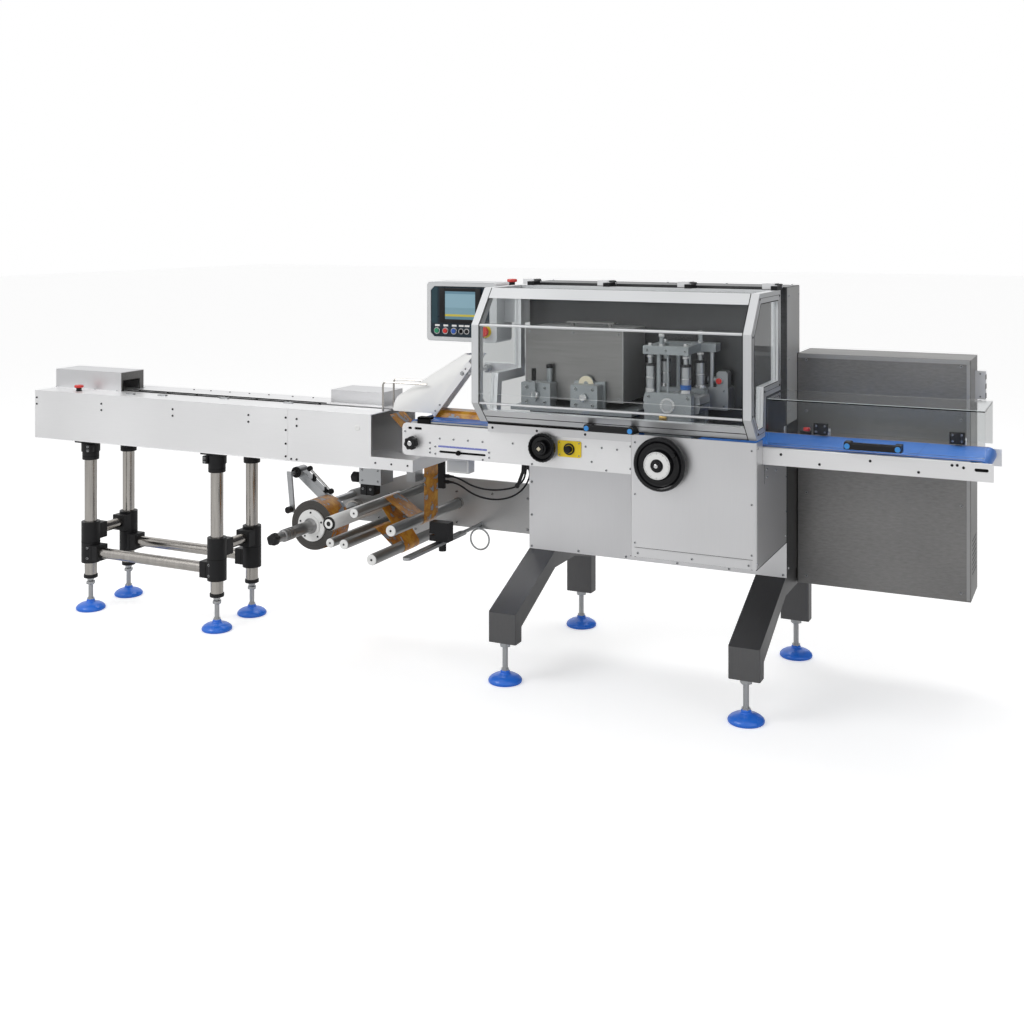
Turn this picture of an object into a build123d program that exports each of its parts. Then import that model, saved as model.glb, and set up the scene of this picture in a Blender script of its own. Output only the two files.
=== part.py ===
from build123d import *
import math
import os

# Horizontal flow wrapping machine. X runs with the product, Y runs into the machine, Z is up from the floor.
# Driving dimensions in millimetres.

# Product line and conveyors
line_y = -148.0
belt_top = 896.0
belt_width = 270.0
belt_t = 3.0
belt_side_gap = 6.0
plate_t = 6.0
sheet_t = 3.0
fit = 0.3
bearing_play = 0.05

# Feet and legs of the main body
pad_d = 120.0
pad_h = 36.0
pad_base_h = 13.0
foot_stem_d = 19.0
nut_width = 30.0
nut_h = 12.0
leg_w = 105.0
leg_depth = 54.0
leg_left_x = 292.0
leg_right_x = 1154.0
front_foot_y = -291.0
rear_foot_y = 414.0
leg_bottom = 141.0
leg_knee = 246.0
leg_top = 392.0
leg_beam_h = 62.0

# Upright housing and its front covers
spine_left = 240.0
spine_right = 1210.0
spine_front = 30.0
spine_back = 221.0
spine_top = 1390.0
lower_panel_top = 780.0
cover_left = 788.0
cover_front = -373.0
cover_bottom = 513.0
cover_top = 915.0
cover_corner = 8.0
drive_top = 676.0

# Conveyor beam in front of the upright housing
beam_left = -122.0
beam_bottom = 767.0
beam_h = 117.0
beam_corner = 18.0
cross_bar_d = 24.0
idler_d = 40.0
in_belt_left = -96.0
in_belt_right = 760.0
out_belt_left = 966.0
out_belt_right = 1890.0
out_plate_right = 1905.0
out_plate_left = 972.0
out_plate_bottom = 836.0
out_plate_h = 54.0
out_bar_d = 12.0
out_bar_count = 4
out_bar_inset = 130.0
out_bracket_w = 50.0

# Handwheels and knobs on the front
main_wheel_x = 899.0
main_wheel_z = 829.0
main_wheel_d = 176.0
main_wheel_depth = 44.0
small_wheel_x = 446.0
small_wheel_z = 837.0
small_wheel_d = 100.0
small_wheel_depth = 30.0
wheel_shaft_d = 20.0
wheel_standoff = 16.0
beam_knob_x = -74.0
beam_knob_z = 815.0
beam_knob_d = 46.0
switch_plate_x = 496.0
switch_plate_z = 836.0
scale_slot_x = 124.0
scale_slot_len = 186.0
rest_bar_bottom = 877.0
rest_bar_top = 905.0
rest_bar_t = 10.0

# Infeed conveyor housing
infeed_left = -1905.0
infeed_right = -247.0
infeed_joint = -616.0
infeed_front = -310.0
infeed_back = 20.0
infeed_bottom = 708.0
infeed_top = 906.0
slot_w = 34.0
sprocket_d = 96.0
chain_t = 8.0
chain_w = 16.0
chain_right = -430.0
chain_left = -1800.0
infeed_button_x = -1718.0
infeed_button_y = -250.0
wire_top = 1016.0
tunnel_len = 362.0
tunnel_front = -190.0
tunnel_back = -53.0
tunnel_h = 79.0
rear_cover_left = -550.0
rear_cover_right = -315.0
rear_cover_front = -149.0
rear_cover_back = 40.0
rear_cover_h = 54.0

# Supports of the infeed conveyor
infeed_leg_left_x = -1648.0
infeed_leg_right_x = -993.0
infeed_leg_front_y = -255.0
infeed_leg_back_y = -28.0
column_d = 50.0
column_bottom = 135.0
tie_d = 43.0
tie_low_z = 240.0
tie_high_z = 325.0
clamp_h = 84.0
clamp_d = 76.0
head_h = 48.0

# Film unwind
unwind_y = 115.0
unwind_t = 12.0
roll_x = -575.0
roll_z = 445.0
roll_d = 190.0
roll_w = 115.0
core_d = 76.0
flange_d = 122.0
sleeve_d = 44.0
reel_shaft_d = 34.0
reel_front = -442.0
roller_front = -405.0
film_w = 104.0
film_t = 1.2
film_tube_h = 24.0
film_tube_right = 146.0
guide_pivot_x = -590.0
guide_pivot_z = 505.0
guide_elbow_x = -735.0
guide_elbow_z = 615.0
guide_bar_w = 34.0
sensor_bar_x = -10.0
sensor_bar_z = 437.0
sensor_bar_front = -470.0
sensor_bar_len = 450.0
sensor_bar_w = 30.0
sensor_bar_t = 10.0
sensor_slot_w = 10.0
sensor_front = -215.0
sensor_w = 78.0
sensor_depth = 40.0
sensor_h = 70.0
cable_d = 7.0

# Hinged hood over the sealing units
hood_left = 232.0
hood_right = 1209.0
hood_post_w = 28.0
hood_rail = 34.0
hood_low_rail = 46.0
hood_bottom = 921.0
hood_bottom_y = -365.0
hood_front = -434.0
hood_knee_low = 994.0
hood_top_y = -332.0
hood_top = spine_top - 6
hood_knee_high = hood_top - 123
hood_back = -55.0
hood_step_z = 1048.0
hood_step_y = -250.0
pane_t = 6.0
knee_strip_w = 8.0
hood_hinge_y = -20.0
hood_hinge_z = hood_top + 10
hinge_pin_d = 8.0
hood_hinge_xs = (285.0, 581.0, 882.0, 1184.0)
hinge_block_w = 44.0
hinge_leaf_w = 22.0
hood_handle_x = 644.0
hood_handle_len = 172.0

# Outfeed guard
guard_left = 1222.0
guard_right = 1880.0
guard_front = -285.0
guard_back = -34.0
guard_top = 1047.0
guard_bottom = 904.0
guard_hinge_y = -8.0
guard_hinge_z = 912.0
guard_hinge_xs = (1340.0, 1774.0)
guard_handle_x = 1558.0
guard_handle_len = 172.0

# Electrical cabinet
cabinet_right = 1793.0
cabinet_front = 185.0
cabinet_back = 399.0
cabinet_bottom = 339.0
cabinet_top = 1150.0
duct_w = 34.0
duct_depth = 24.0
duct_h = 97.0
duct_y = 330.0
duct_bottom = 1004.0

# Operator panel
hmi_left = -136.0
hmi_right = 157.0
hmi_front = -86.0
hmi_back = 43.0
hmi_top = 1389.0
hmi_height = 223.0
hmi_bottom = hmi_top - hmi_height
hmi_corner = 14.0
facia_depth = 3.0
facia_margin = 16.0
facia_right_margin = 30.0
screen_w = 155.0
screen_h = 127.0
screen_right_margin = 76.0
screen_drop = 26.0

# Sealing units under the hood
seal_box_left = 328.0
seal_box_right = 697.0
seal_box_front = -196.0
seal_box_top = hood_top - 146
deck_left = 300.0
deck_right = 752.0
deck_front = -262.0
deck_z = belt_top + 59
deck_t = 12.0
seal_box_bottom = deck_z + deck_t + 21
crimp_x = 874.0
crimp_upper_z = 998.0
crimp_reach = 100.0
jaw_face = 54.0
jaw_depth = 24.0
jaw_neck = 40.0
crimp_hub_d = 66.0
crimp_gap = 6.0
crimp_shaft_d = 36.0
crimp_plate_w = 164.0
crimp_plate_t = 34.0
crimp_span = 128.0
crimp_block_top = 1040.0
crimp_yoke_z = 1168.0
drive_block_left = 900.0
drive_block_w = 125.0
drive_block_bottom = 964.0
drive_block_h = 79.0
drive_head_w = 42.0
drive_head_h = 56.0
adjuster_h = 85.0
adjuster_left_x = 339.0
adjuster_left_w = 111.0
adjuster_right_x = 527.0
adjuster_right_w = 99.0

# Tray under the infeed end and forming plough
tray_right = -70.0
tray_bottom = 708.0
tray_top = 752.0
tray_head_w = 94.0
tray_head_depth = 90.0
tray_head_h = 68.0
tray_plate_t = 6.0
tray_upright_w = 40.0
tray_upright_bottom = 590.0
plough_r = 60.0
plough_mouth_x = -52.0
plough_left = -215.0
plough_rise = 220.0
plough_skirt = 70.0
plough_bar_w = 24.0
plough_bar_t = 5.0
plough_bar_x = -42.0
plough_bar_end = 50.0
plough_arm_d = 16.0
plough_arm_share = 0.62


def block(x0, x1, y0, y1, z0, z1):
    return Pos((x0 + x1) / 2, (y0 + y1) / 2, (z0 + z1) / 2) * Box(x1 - x0, y1 - y0, z1 - z0)


def rod_x(y, z, x0, x1, d):
    return Pos((x0 + x1) / 2, y, z) * Rot(0, 90, 0) * Cylinder(d / 2, x1 - x0)


def rod_y(x, z, y0, y1, d):
    return Pos(x, (y0 + y1) / 2, z) * Rot(90, 0, 0) * Cylinder(d / 2, y1 - y0)


def rod_z(x, y, z0, z1, d):
    return Pos(x, y, (z0 + z1) / 2) * Cylinder(d / 2, z1 - z0)


def side_profile(points, x0, x1):
    # closed outline in (y, z), carried along X
    face = make_face(Polyline(*[(0, y, z) for y, z in points], close=True))
    return Pos(x0, 0, 0) * extrude(face, amount=x1 - x0, dir=(1, 0, 0))


def front_profile(points, y0, y1):
    # closed outline in (x, z), carried along Y
    face = make_face(Polyline(*[(x, 0, z) for x, z in points], close=True))
    return Pos(0, y0, 0) * extrude(face, amount=y1 - y0, dir=(0, 1, 0))


def save(name, *solids):
    shape = solids[0] if len(solids) == 1 else Compound(children=list(solids))
    export_step(shape, f"parts/{name}.step")


# Levelling feet

def foot_pad(x, y):
    # round base with a conical rise to the nut
    base = rod_z(x, y, 0, pad_base_h, pad_d)
    rise = pad_h - pad_base_h
    return base + Pos(x, y, pad_base_h + rise / 2) * Cone(pad_d / 2, nut_width * 0.62, rise)


def foot_stem(x, y, top):
    stem = rod_z(x, y, pad_h, top, foot_stem_d)
    for z in (pad_h, top - nut_h):
        stem += Pos(x, y, z) * extrude(RegularPolygon(nut_width / 2, 6), amount=nut_h)
    return stem


# Main legs: box section bent down to a vertical foot at the front and the back

def leg_frame(x):
    front = front_foot_y - leg_depth / 2
    back = rear_foot_y + leg_depth / 2
    under = leg_top - leg_beam_h
    outline = [
        (front, leg_bottom), (front, leg_knee), (spine_front, leg_top), (spine_back, leg_top),
        (back, leg_knee + 74), (back, leg_bottom), (back - leg_depth, leg_bottom),
        (back - leg_depth, under - 42), (spine_back, under), (spine_front, under),
        (front + leg_depth, leg_knee - leg_beam_h + 11), (front + leg_depth, leg_bottom),
    ]
    leg = side_profile(outline, x - leg_w / 2, x + leg_w / 2)
    return fillet(leg.edges().filter_by(Axis.Z), 5)


# Upright housing

def spine_housing():
    body = block(spine_left, spine_right, spine_front, spine_back, leg_top, spine_top)
    body = fillet(body.edges().filter_by(Axis.Z), 4)
    # recessed rear door with its frame around it
    margin = 36.0
    recess = block(spine_left + margin, spine_right - margin, spine_back - 2, spine_back,
                   leg_top + margin, spine_top - margin)
    door = block(spine_left + margin + 3, spine_right - margin - 3, spine_back - 2, spine_back,
                 leg_top + margin + 3, spine_top - margin - 3)
    return body - recess + door


def lower_panel():
    return block(spine_left, spine_right, spine_front - sheet_t, spine_front, leg_top, lower_panel_top)


def cover_box():
    # folded cover: front and two sides, with windows where the conveyors pass
    outer = block(cover_left, spine_right, cover_front, spine_front - sheet_t, cover_bottom, cover_top)
    front_edges = outer.edges().filter_by(Axis.Z).group_by(Axis.Y)[0]
    outer = fillet(front_edges, cover_corner)
    inner = block(cover_left + sheet_t, spine_right - sheet_t, cover_front + sheet_t, spine_front,
                  cover_bottom + sheet_t, cover_top + 1)
    margin = belt_width / 2 + belt_side_gap + plate_t + 3
    window = block(cover_left - 1, spine_right + 1, line_y - margin, line_y + margin,
                   out_plate_bottom - 3, cover_top + 1)
    # the left side is open behind the beam, where the lower jaws swing through
    jaw_way = block(cover_left - 1, cover_left + sheet_t + 1, line_y - margin, line_y + margin,
                    drive_top + 4, cover_top + 1)
    return outer - inner - window - jaw_way


def cover_strip():
    # edge strip screwed low on the front of the cover
    return block(cover_left + 20, spine_right - 18, cover_front - 3, cover_front,
                 cover_bottom + 2, cover_bottom + 29)


def drive_housing():
    return block(cover_left + sheet_t + 8, spine_right - sheet_t - 8, cover_front + 40, spine_front - sheet_t,
                 cover_bottom + sheet_t, drive_top)


# Conveyor beam

plate_front_y = line_y - belt_width / 2 - belt_side_gap - plate_t
plate_back_y = line_y + belt_width / 2 + belt_side_gap


def beam_front_plate():
    plate = block(beam_left, cover_left, plate_front_y, plate_front_y + plate_t,
                  beam_bottom, beam_bottom + beam_h)
    left_corners = plate.edges().filter_by(Axis.Y).group_by(Axis.X)[0]
    plate = fillet(left_corners, beam_corner)
    for x, length in ((beam_left + 32, 16), (beam_left + 66, 30)):
        slot = Pos(x, plate_front_y + plate_t / 2, beam_bottom + beam_h - 18) * Rot(90, 0, 0)
        plate -= slot * extrude(SlotOverall(length, 9), amount=plate_t, both=True)
    scale_slot = Pos(scale_slot_x, plate_front_y + plate_t / 2, beam_bottom + 22) * Rot(90, 0, 0)
    plate -= scale_slot * extrude(SlotOverall(scale_slot_len, 8), amount=plate_t, both=True)
    return plate


def beam_back_plate():
    return block(beam_left + 40, cover_left, plate_back_y, plate_back_y + plate_t,
                 beam_bottom, beam_bottom + beam_h)


def beam_cross_bars():
    bars = []
    for x in (40.0, 330.0, 620.0):
        bars.append(rod_y(x, beam_bottom + 40, plate_front_y + plate_t, plate_back_y, cross_bar_d))
    return bars


def beam_brackets():
    # blocks that carry both conveyors on the upright housing
    y0 = plate_back_y + plate_t
    blocks = []
    for x in (spine_left + 60, cover_left - 88):
        blocks.append(block(x - 30, x + 30, y0, spine_front, lower_panel_top, beam_bottom + beam_h))
    half = out_bracket_w / 2
    for x in (out_plate_left + 68, spine_right - 60):
        blocks.append(block(x - half, x + half, y0, spine_front,
                            out_plate_bottom, out_plate_bottom + out_plate_h))
    return blocks


def beam_rest_bar():
    # flat bar along the front plate under the closed hood
    return block(spine_left - 9, cover_left, plate_front_y - rest_bar_t, plate_front_y,
                 rest_bar_bottom, rest_bar_top)


def belt_loop(x0, x1):
    # flat belt round two end rollers
    outer_r = idler_d / 2 + belt_t
    centre_z = belt_top - outer_r
    length = x1 - x0

    def stadium(r):
        return extrude(SlotOverall(length - 2 * (outer_r - r), 2 * r), amount=belt_width / 2, both=True)

    loop = stadium(outer_r) - stadium(outer_r - belt_t)
    return Pos((x0 + x1) / 2, line_y, centre_z) * Rot(90, 0, 0) * loop


def belt_rollers(x0, x1):
    centre_z = belt_top - idler_d / 2 - belt_t
    inset = idler_d / 2 + belt_t
    return [rod_y(x, centre_z, plate_front_y + plate_t, plate_back_y, idler_d - 2 * fit)
            for x in (x0 + inset, x1 - inset)]


def belt_bed(x0, x1):
    inset = idler_d + belt_t + 8
    top = belt_top - belt_t - fit
    return block(x0 + inset, x1 - inset, plate_front_y + plate_t, plate_back_y, top - 6, top)


# Outfeed conveyor

def outfeed_plates():
    plates = []
    for y in (plate_front_y, plate_back_y):
        plates.append(block(out_plate_left, out_plate_right, y, y + plate_t,
                            out_plate_bottom, out_plate_bottom + out_plate_h))
    slot = Pos(out_plate_right - 34, plate_front_y + plate_t / 2, out_plate_bottom + 34) * Rot(90, 0, 0)
    plates[0] -= slot * extrude(SlotOverall(40, 10), amount=plate_t, both=True)
    return plates


def outfeed_cross_bars():
    z = out_plate_bottom + out_bar_d / 2 + 1
    first = out_plate_left + out_bar_inset
    pitch = (out_plate_right - out_bar_inset - first) / (out_bar_count - 1)
    return [rod_y(first + i * pitch, z, plate_front_y + plate_t, plate_back_y, out_bar_d)
            for i in range(out_bar_count)]


# Handwheels

def handwheel(x, z, face_y, d, depth):
    # dished wheel turned about its shaft; its back lies a stand-off in front of the face
    back = face_y - wheel_standoff
    r = d / 2
    rim = depth * 0.62
    outline = [
        (wheel_shaft_d / 2 + bearing_play, 0), (r, 0), (r, rim), (r - 14, rim), (r - 14, rim - 10),
        (r * 0.62, rim - 10), (r * 0.48, depth), (wheel_shaft_d / 2 + bearing_play, depth),
    ]
    profile = make_face(Polyline(*outline, close=True))
    wheel = revolve(Plane.XZ * profile, Axis.Z)
    return Pos(x, back, z) * Rot(90, 0, 0) * wheel


def wheel_spindle(x, z, face_y, depth):
    tip = face_y - wheel_standoff - depth - 4
    spindle = rod_y(x, z, tip + 4, face_y, wheel_shaft_d)
    spindle += rod_y(x, z, tip, tip + 4 - fit, wheel_shaft_d + 10)
    spindle += rod_y(x, z, tip + 3, tip + 5, wheel_shaft_d)
    return spindle + rod_y(x, z, face_y - wheel_standoff + fit, face_y, wheel_shaft_d + 14)


# Infeed housing

def infeed_front_panels():
    long_panel = block(infeed_left, infeed_joint - fit, infeed_front, infeed_front + sheet_t,
                       infeed_bottom, infeed_top)
    short_panel = block(infeed_joint + fit, infeed_right, infeed_front, infeed_front + sheet_t,
                        infeed_bottom, infeed_top)
    return [long_panel, short_panel]


def infeed_back_panel():
    return block(infeed_left, infeed_right, infeed_back - sheet_t, infeed_back, infeed_bottom, infeed_top)


def infeed_bottom_sheet():
    # floor of the housing with its left end turned up
    y0 = infeed_front + sheet_t
    y1 = infeed_back - sheet_t
    floor = block(infeed_left, infeed_right, y0, y1, infeed_bottom, infeed_bottom + sheet_t)
    return floor + block(infeed_left, infeed_left + sheet_t, y0, y1, infeed_bottom, infeed_top - sheet_t)


def infeed_top_strips():
    strips = []
    for y0, y1 in ((infeed_front + sheet_t, line_y - slot_w / 2), (line_y + slot_w / 2, infeed_back - sheet_t)):
        strips.append(block(infeed_left, infeed_right, y0, y1, infeed_top - sheet_t, infeed_top))
    return strips


def tunnel_cover():
    # folded hood over the start of the chain, open to the right and below
    top = infeed_top + tunnel_h
    outer = block(infeed_left, infeed_left + tunnel_len, tunnel_front, tunnel_back, infeed_top, top)
    inner = block(infeed_left + sheet_t, infeed_left + tunnel_len - sheet_t, tunnel_front + sheet_t,
                  tunnel_back - sheet_t, infeed_top - 1, top - sheet_t)
    mouth = block(infeed_left + tunnel_len / 2, infeed_left + tunnel_len + 1, line_y - 30, line_y + 66,
                  infeed_top - 1, infeed_top + 42)
    return outer - inner - mouth


def rear_cover():
    cover = block(rear_cover_left, rear_cover_right, rear_cover_front + slot_w, rear_cover_back,
                  infeed_top, infeed_top + rear_cover_h)
    return fillet(cover.edges().filter_by(Axis.Z), 3)


def chain_loop():
    r = sprocket_d / 2
    length = chain_right - chain_left

    def stadium(radius):
        return extrude(SlotOverall(length - 2 * (r + chain_t - radius), 2 * radius), amount=chain_w / 2, both=True)

    loop = stadium(r + chain_t) - stadium(r)
    centre_z = infeed_top - 18 - r - chain_t
    return Pos((chain_left + chain_right) / 2, line_y, centre_z) * Rot(90, 0, 0) * loop


def chain_sprockets():
    r = sprocket_d / 2
    centre_z = infeed_top - 18 - r - chain_t
    solids = []
    for x in (chain_left + r + chain_t, chain_right - r - chain_t):
        hub = rod_y(x, centre_z, line_y - chain_w / 2, line_y + chain_w / 2, sprocket_d - 2 * fit)
        hub += rod_y(x, centre_z, infeed_front + sheet_t, infeed_back - sheet_t, 25)
        solids.append(hub)
    return solids


# Supports of the infeed conveyor

tie_inset = column_d / 2 + 4
infeed_leg_spots = [(x, y) for x in (infeed_leg_left_x, infeed_leg_right_x)
                    for y in (infeed_leg_front_y, infeed_leg_back_y)]


def infeed_column(x, y):
    return rod_z(x, y, column_bottom, infeed_bottom - head_h * 0.25, column_d)


def column_head(x, y):
    # flanged socket that the column stands in, under the housing
    flange = block(x - 56, x + 56, y - 34, y + 34, infeed_bottom - head_h * 0.25, infeed_bottom)
    socket = rod_z(x, y, infeed_bottom - head_h, infeed_bottom - head_h * 0.25, clamp_d)
    socket -= rod_z(x, y, infeed_bottom - head_h - 1, infeed_bottom - head_h * 0.25, column_d + 2 * fit)
    return flange + socket


def tube_clamps(x, y):
    # two stacked split clamps: the upper one holds the tie along Y, the lower one the tie along X
    toward_x = 1 if x < (infeed_leg_left_x + infeed_leg_right_x) / 2 else -1
    toward_y = 1 if y < (infeed_leg_front_y + infeed_leg_back_y) / 2 else -1
    lobe = clamp_d / 2 + 24
    upper = rod_z(x, y, tie_high_z - clamp_h / 2, tie_high_z + clamp_h / 2, clamp_d)
    arm_y = sorted((y, y + toward_y * lobe))
    upper += block(x - 32, x + 32, arm_y[0], arm_y[1], tie_high_z - 32, tie_high_z + 32)
    lower = rod_z(x, y, tie_low_z - clamp_h / 2, tie_high_z - clamp_h / 2, clamp_d)
    arm_x = sorted((x, x + toward_x * lobe))
    lower += block(arm_x[0], arm_x[1], y - 32, y + 32, tie_low_z - 32, tie_low_z + 32)
    bore = rod_z(x, y, tie_low_z - clamp_h, tie_high_z + clamp_h, column_d + 2 * fit)
    near = tie_inset - fit
    ends_y = sorted((y + toward_y * near, y + toward_y * 120))
    ends_x = sorted((x + toward_x * near, x + toward_x * 120))
    sockets = rod_y(x, tie_high_z, *ends_y, tie_d + 2 * fit) + rod_x(y, tie_low_z, *ends_x, tie_d + 2 * fit)
    return upper + lower - bore - sockets


def tie_tubes():
    tubes = []
    for y in (infeed_leg_front_y, infeed_leg_back_y):
        tubes.append(rod_x(y, tie_low_z, infeed_leg_left_x + tie_inset, infeed_leg_right_x - tie_inset, tie_d))
    for x in (infeed_leg_left_x, infeed_leg_right_x):
        tubes.append(rod_y(x, tie_high_z, infeed_leg_front_y + tie_inset, infeed_leg_back_y - tie_inset, tie_d))
    return tubes


# Film unwind

rollers = {
    "upper_left": (-366.0, 513.0, 52.0),
    "lower_left": (-361.0, 443.0, 34.0),
    "lower_middle": (-302.0, 444.0, 36.0),
    "bottom": (-185.0, 401.0, 40.0),
    "right": (-105.0, 513.0, 40.0),
    "top": (-259.0, 561.0, 34.0),
}
roller_shaft_d = 12.0
web_top = 762.0
mouth_x = -232.0
mouth_z = 893.0
web_x = rollers["right"][0] + rollers["right"][2] / 2


def unwind_plate():
    low = roll_z - 45
    outline = [
        (roll_x - 70, roll_z - 45), (roll_x - 70, roll_z + 45), (roll_x - 30, roll_z + 75),
        (-320, 612), (spine_left, 612), (spine_left, 421), (-150, 421), (-230, 366), (-420, 366), (-470, low),
    ]
    return front_profile(outline, unwind_y, unwind_y + unwind_t)


def reel_shaft():
    shaft = rod_y(roll_x, roll_z, line_y - roll_w / 2 - 40, unwind_y, reel_shaft_d)
    return shaft + rod_y(roll_x, roll_z, unwind_y - 30, unwind_y, 80)


def film_roll():
    ring = rod_y(roll_x, roll_z, line_y - roll_w / 2, line_y + roll_w / 2, roll_d)
    return ring - rod_y(roll_x, roll_z, line_y - roll_w, line_y + roll_w, core_d + 2 * fit)


def reel_hub():
    # core, front flange and the clamping sleeve that runs forward to the knob
    y0 = line_y - roll_w / 2
    hub = rod_y(roll_x, roll_z, y0 - 6, line_y + roll_w / 2 + 10, core_d)
    hub += rod_y(roll_x, roll_z, y0 - 12, y0 - fit, flange_d)
    hub += rod_y(roll_x, roll_z, reel_front + 40, y0 - 12, sleeve_d)
    hub += rod_y(roll_x, roll_z, reel_front, reel_front + 40, sleeve_d - 8)
    hub += star_knob(roll_x, roll_z, reel_front - 32, reel_front, 23, 5)
    hub -= rod_y(roll_x, roll_z, y0 - 42, line_y + roll_w, reel_shaft_d + 2 * bearing_play)
    return hub


def star_knob(x, z, y0, y1, r, points):
    # lobed clamping knob seen along Y
    corners = []
    for i in range(2 * points):
        a = math.pi * i / points
        reach = r if i % 2 else r * 0.72
        corners.append((x + reach * math.cos(a), z + reach * math.sin(a)))
    return front_profile(corners, y0, y1)


def film_roller(x, z, d):
    # tube with closed front cap, running on its own fixed shaft
    tube = rod_y(x, z, roller_front, unwind_y - 14, d)
    return tube - rod_y(x, z, roller_front + 12, unwind_y, roller_shaft_d + 2 * bearing_play)


def roller_shaft(x, z):
    shaft = rod_y(x, z, roller_front + 14, unwind_y, roller_shaft_d)
    return shaft + rod_y(x, z, unwind_y - 12, unwind_y, 44)


def tangent(a, b, side_a, side_b, gap):
    # tangent points of two circles (x, z, d) seen along Y; side is 1 where the circle lies left of the travel
    ra = a[2] / 2 + gap
    rb = b[2] / 2 + gap
    dx = b[0] - a[0]
    dz = b[1] - a[1]
    heading = math.atan2(dz, dx) - math.asin((side_b * rb - side_a * ra) / math.hypot(dx, dz))
    return heading


def on_circle(circle, side, radius, heading):
    return (circle[0] + side * radius * math.sin(heading), 0, circle[1] - side * radius * math.cos(heading))


film_route = [
    ((roll_x, roll_z, roll_d), 1),
    (rollers["lower_left"], 1),
    (rollers["lower_middle"], -1),
    (rollers["bottom"], 1),
    (rollers["top"], -1),
    (rollers["right"], 1),
]
film_clear = 0.4


def film_web():
    # strip of film from under the roll over five rollers and up towards the forming plough
    gap = film_clear + film_t / 2
    headings = [tangent(a, b, sa, sb, gap) for (a, sa), (b, sb) in zip(film_route, film_route[1:])]
    first = headings[0] - 0.6
    headings = [first] + headings + [math.pi / 2]
    sides = []
    for shift in (-film_t / 2, film_t / 2):
        edges = []
        last = None
        for i, (circle, side) in enumerate(film_route):
            radius = circle[2] / 2 + gap - side * shift
            arrive, leave = headings[i], headings[i + 1]
            while side * (leave - arrive) < 0:
                leave += side * 2 * math.pi
            start = on_circle(circle, side, radius, arrive)
            middle = on_circle(circle, side, radius, (arrive + leave) / 2)
            end = on_circle(circle, side, radius, leave)
            if last is not None:
                edges.append(Line(last, start))
            edges.append(ThreePointArc(start, middle, end))
            last = end
        edges.append(Line(last, (last[0], 0, web_top)))
        sides.append(edges)
    left, right = sides
    caps = [Line(left[0] @ 0, right[0] @ 0), Line(left[-1] @ 1, right[-1] @ 1)]
    face = make_face(Wire(left + right + caps))
    strip = extrude(face, amount=film_w / 2, dir=(0, 1, 0), both=True)
    # last stretch, leaning back to the mouth of the plough
    x0 = ((left[-1] @ 1).X + (right[-1] @ 1).X) / 2
    z0 = web_top - film_t
    length = math.hypot(mouth_x - x0, mouth_z - z0)
    lean = math.degrees(math.atan2(mouth_z - z0, mouth_x - x0))
    strip += Pos(x0, 0, z0) * Rot(0, -lean, 0) * Pos(length / 2, 0, 0) * Box(length, film_w, film_t)
    return Pos(0, line_y, 0) * strip


def film_tube():
    # low folded tube of film on the belt between the plough and the hood
    half = film_w / 2 - 2
    z0 = belt_top + fit
    z1 = z0 + film_tube_h
    corners = [
        (line_y - half, z0), (line_y - half + 6, z1 - 8), (line_y - half + 20, z1),
        (line_y + half - 20, z1), (line_y + half - 6, z1 - 8), (line_y + half, z0),
    ]
    return side_profile(corners, plough_mouth_x + 4, film_tube_right)


# Arms on the unwind plate

def roll_guide_arm():
    # square bar behind the roll, a round arm forward from its elbow and a flat bar down beside the roll
    back = line_y + roll_w / 2 + 20
    run_x = guide_elbow_x - guide_pivot_x
    run_z = guide_elbow_z - guide_pivot_z
    length = math.hypot(run_x, run_z)
    lean = math.degrees(math.atan2(run_z, run_x))
    bar = Pos(length / 2, 0, 0) * Box(length, guide_bar_w, guide_bar_w)
    arm = Pos(guide_pivot_x, back + guide_bar_w / 2, guide_pivot_z) * Rot(0, -lean, 0) * bar
    arm += rod_y(guide_pivot_x, guide_pivot_z, back - 4, unwind_y, 26)
    arm += rod_y(guide_elbow_x, guide_elbow_z, back - 10, back + guide_bar_w + 8, 44)
    front = back - 60
    arm += rod_y(guide_elbow_x, guide_elbow_z, front, back - 10, 14)
    x, z = guide_elbow_x, guide_elbow_z
    blade = [(x - 13, z + 10), (x + 9, z + 10), (x + 24, z - 150), (x + 4, z - 150)]
    return arm + front_profile(blade, front, front + 8)


def sensor_bar():
    # flat slotted bar that reaches forward under the rollers on a round root
    length = sensor_bar_len
    bar = extrude(SlotOverall(length, sensor_bar_w, 90), amount=sensor_bar_t / 2, both=True)
    bar -= extrude(SlotOverall(length - 30, sensor_slot_w, 90), amount=sensor_bar_t, both=True)
    bar = Pos(sensor_bar_x, sensor_bar_front + length / 2, sensor_bar_z) * bar
    return bar + rod_y(sensor_bar_x, sensor_bar_z, sensor_bar_front + length - 14, unwind_y, 14)


def mark_sensor():
    # sensor head standing on the slotted bar, held from below by a knob
    x, z = sensor_bar_x - 5, sensor_bar_z + sensor_bar_t / 2
    y1 = sensor_front + sensor_depth
    head = block(x - sensor_w / 2, x + sensor_w / 2, sensor_front, y1, z, z + sensor_h)
    head -= block(x - sensor_w, x - sensor_w / 2 + 22, sensor_front - 1, y1 + 1, z + 20, z + 28)
    y = sensor_front + sensor_depth / 2
    head += rod_z(sensor_bar_x, y, z - sensor_bar_t - 6, z, sensor_slot_w - 3)
    return head + rod_z(sensor_bar_x, y, z - sensor_bar_t - 27, z - sensor_bar_t - film_clear, 28)


cable_bracket_x = -73.0
cable_bracket_y = -60.0
cable_starts = (652.0, 630.0)
gland_l = 12.0
gland_box_z = 680.0


def cable_bracket():
    # plate under the tray with the two glands that the cables leave
    x = cable_bracket_x
    y = cable_bracket_y
    plate = block(x - 44, x, y - 6, y + 6, min(cable_starts) - 26, tray_bottom)
    for z in cable_starts:
        plate += rod_x(y, z, x, x + gland_l, 2 * cable_d)
    return plate


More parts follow.
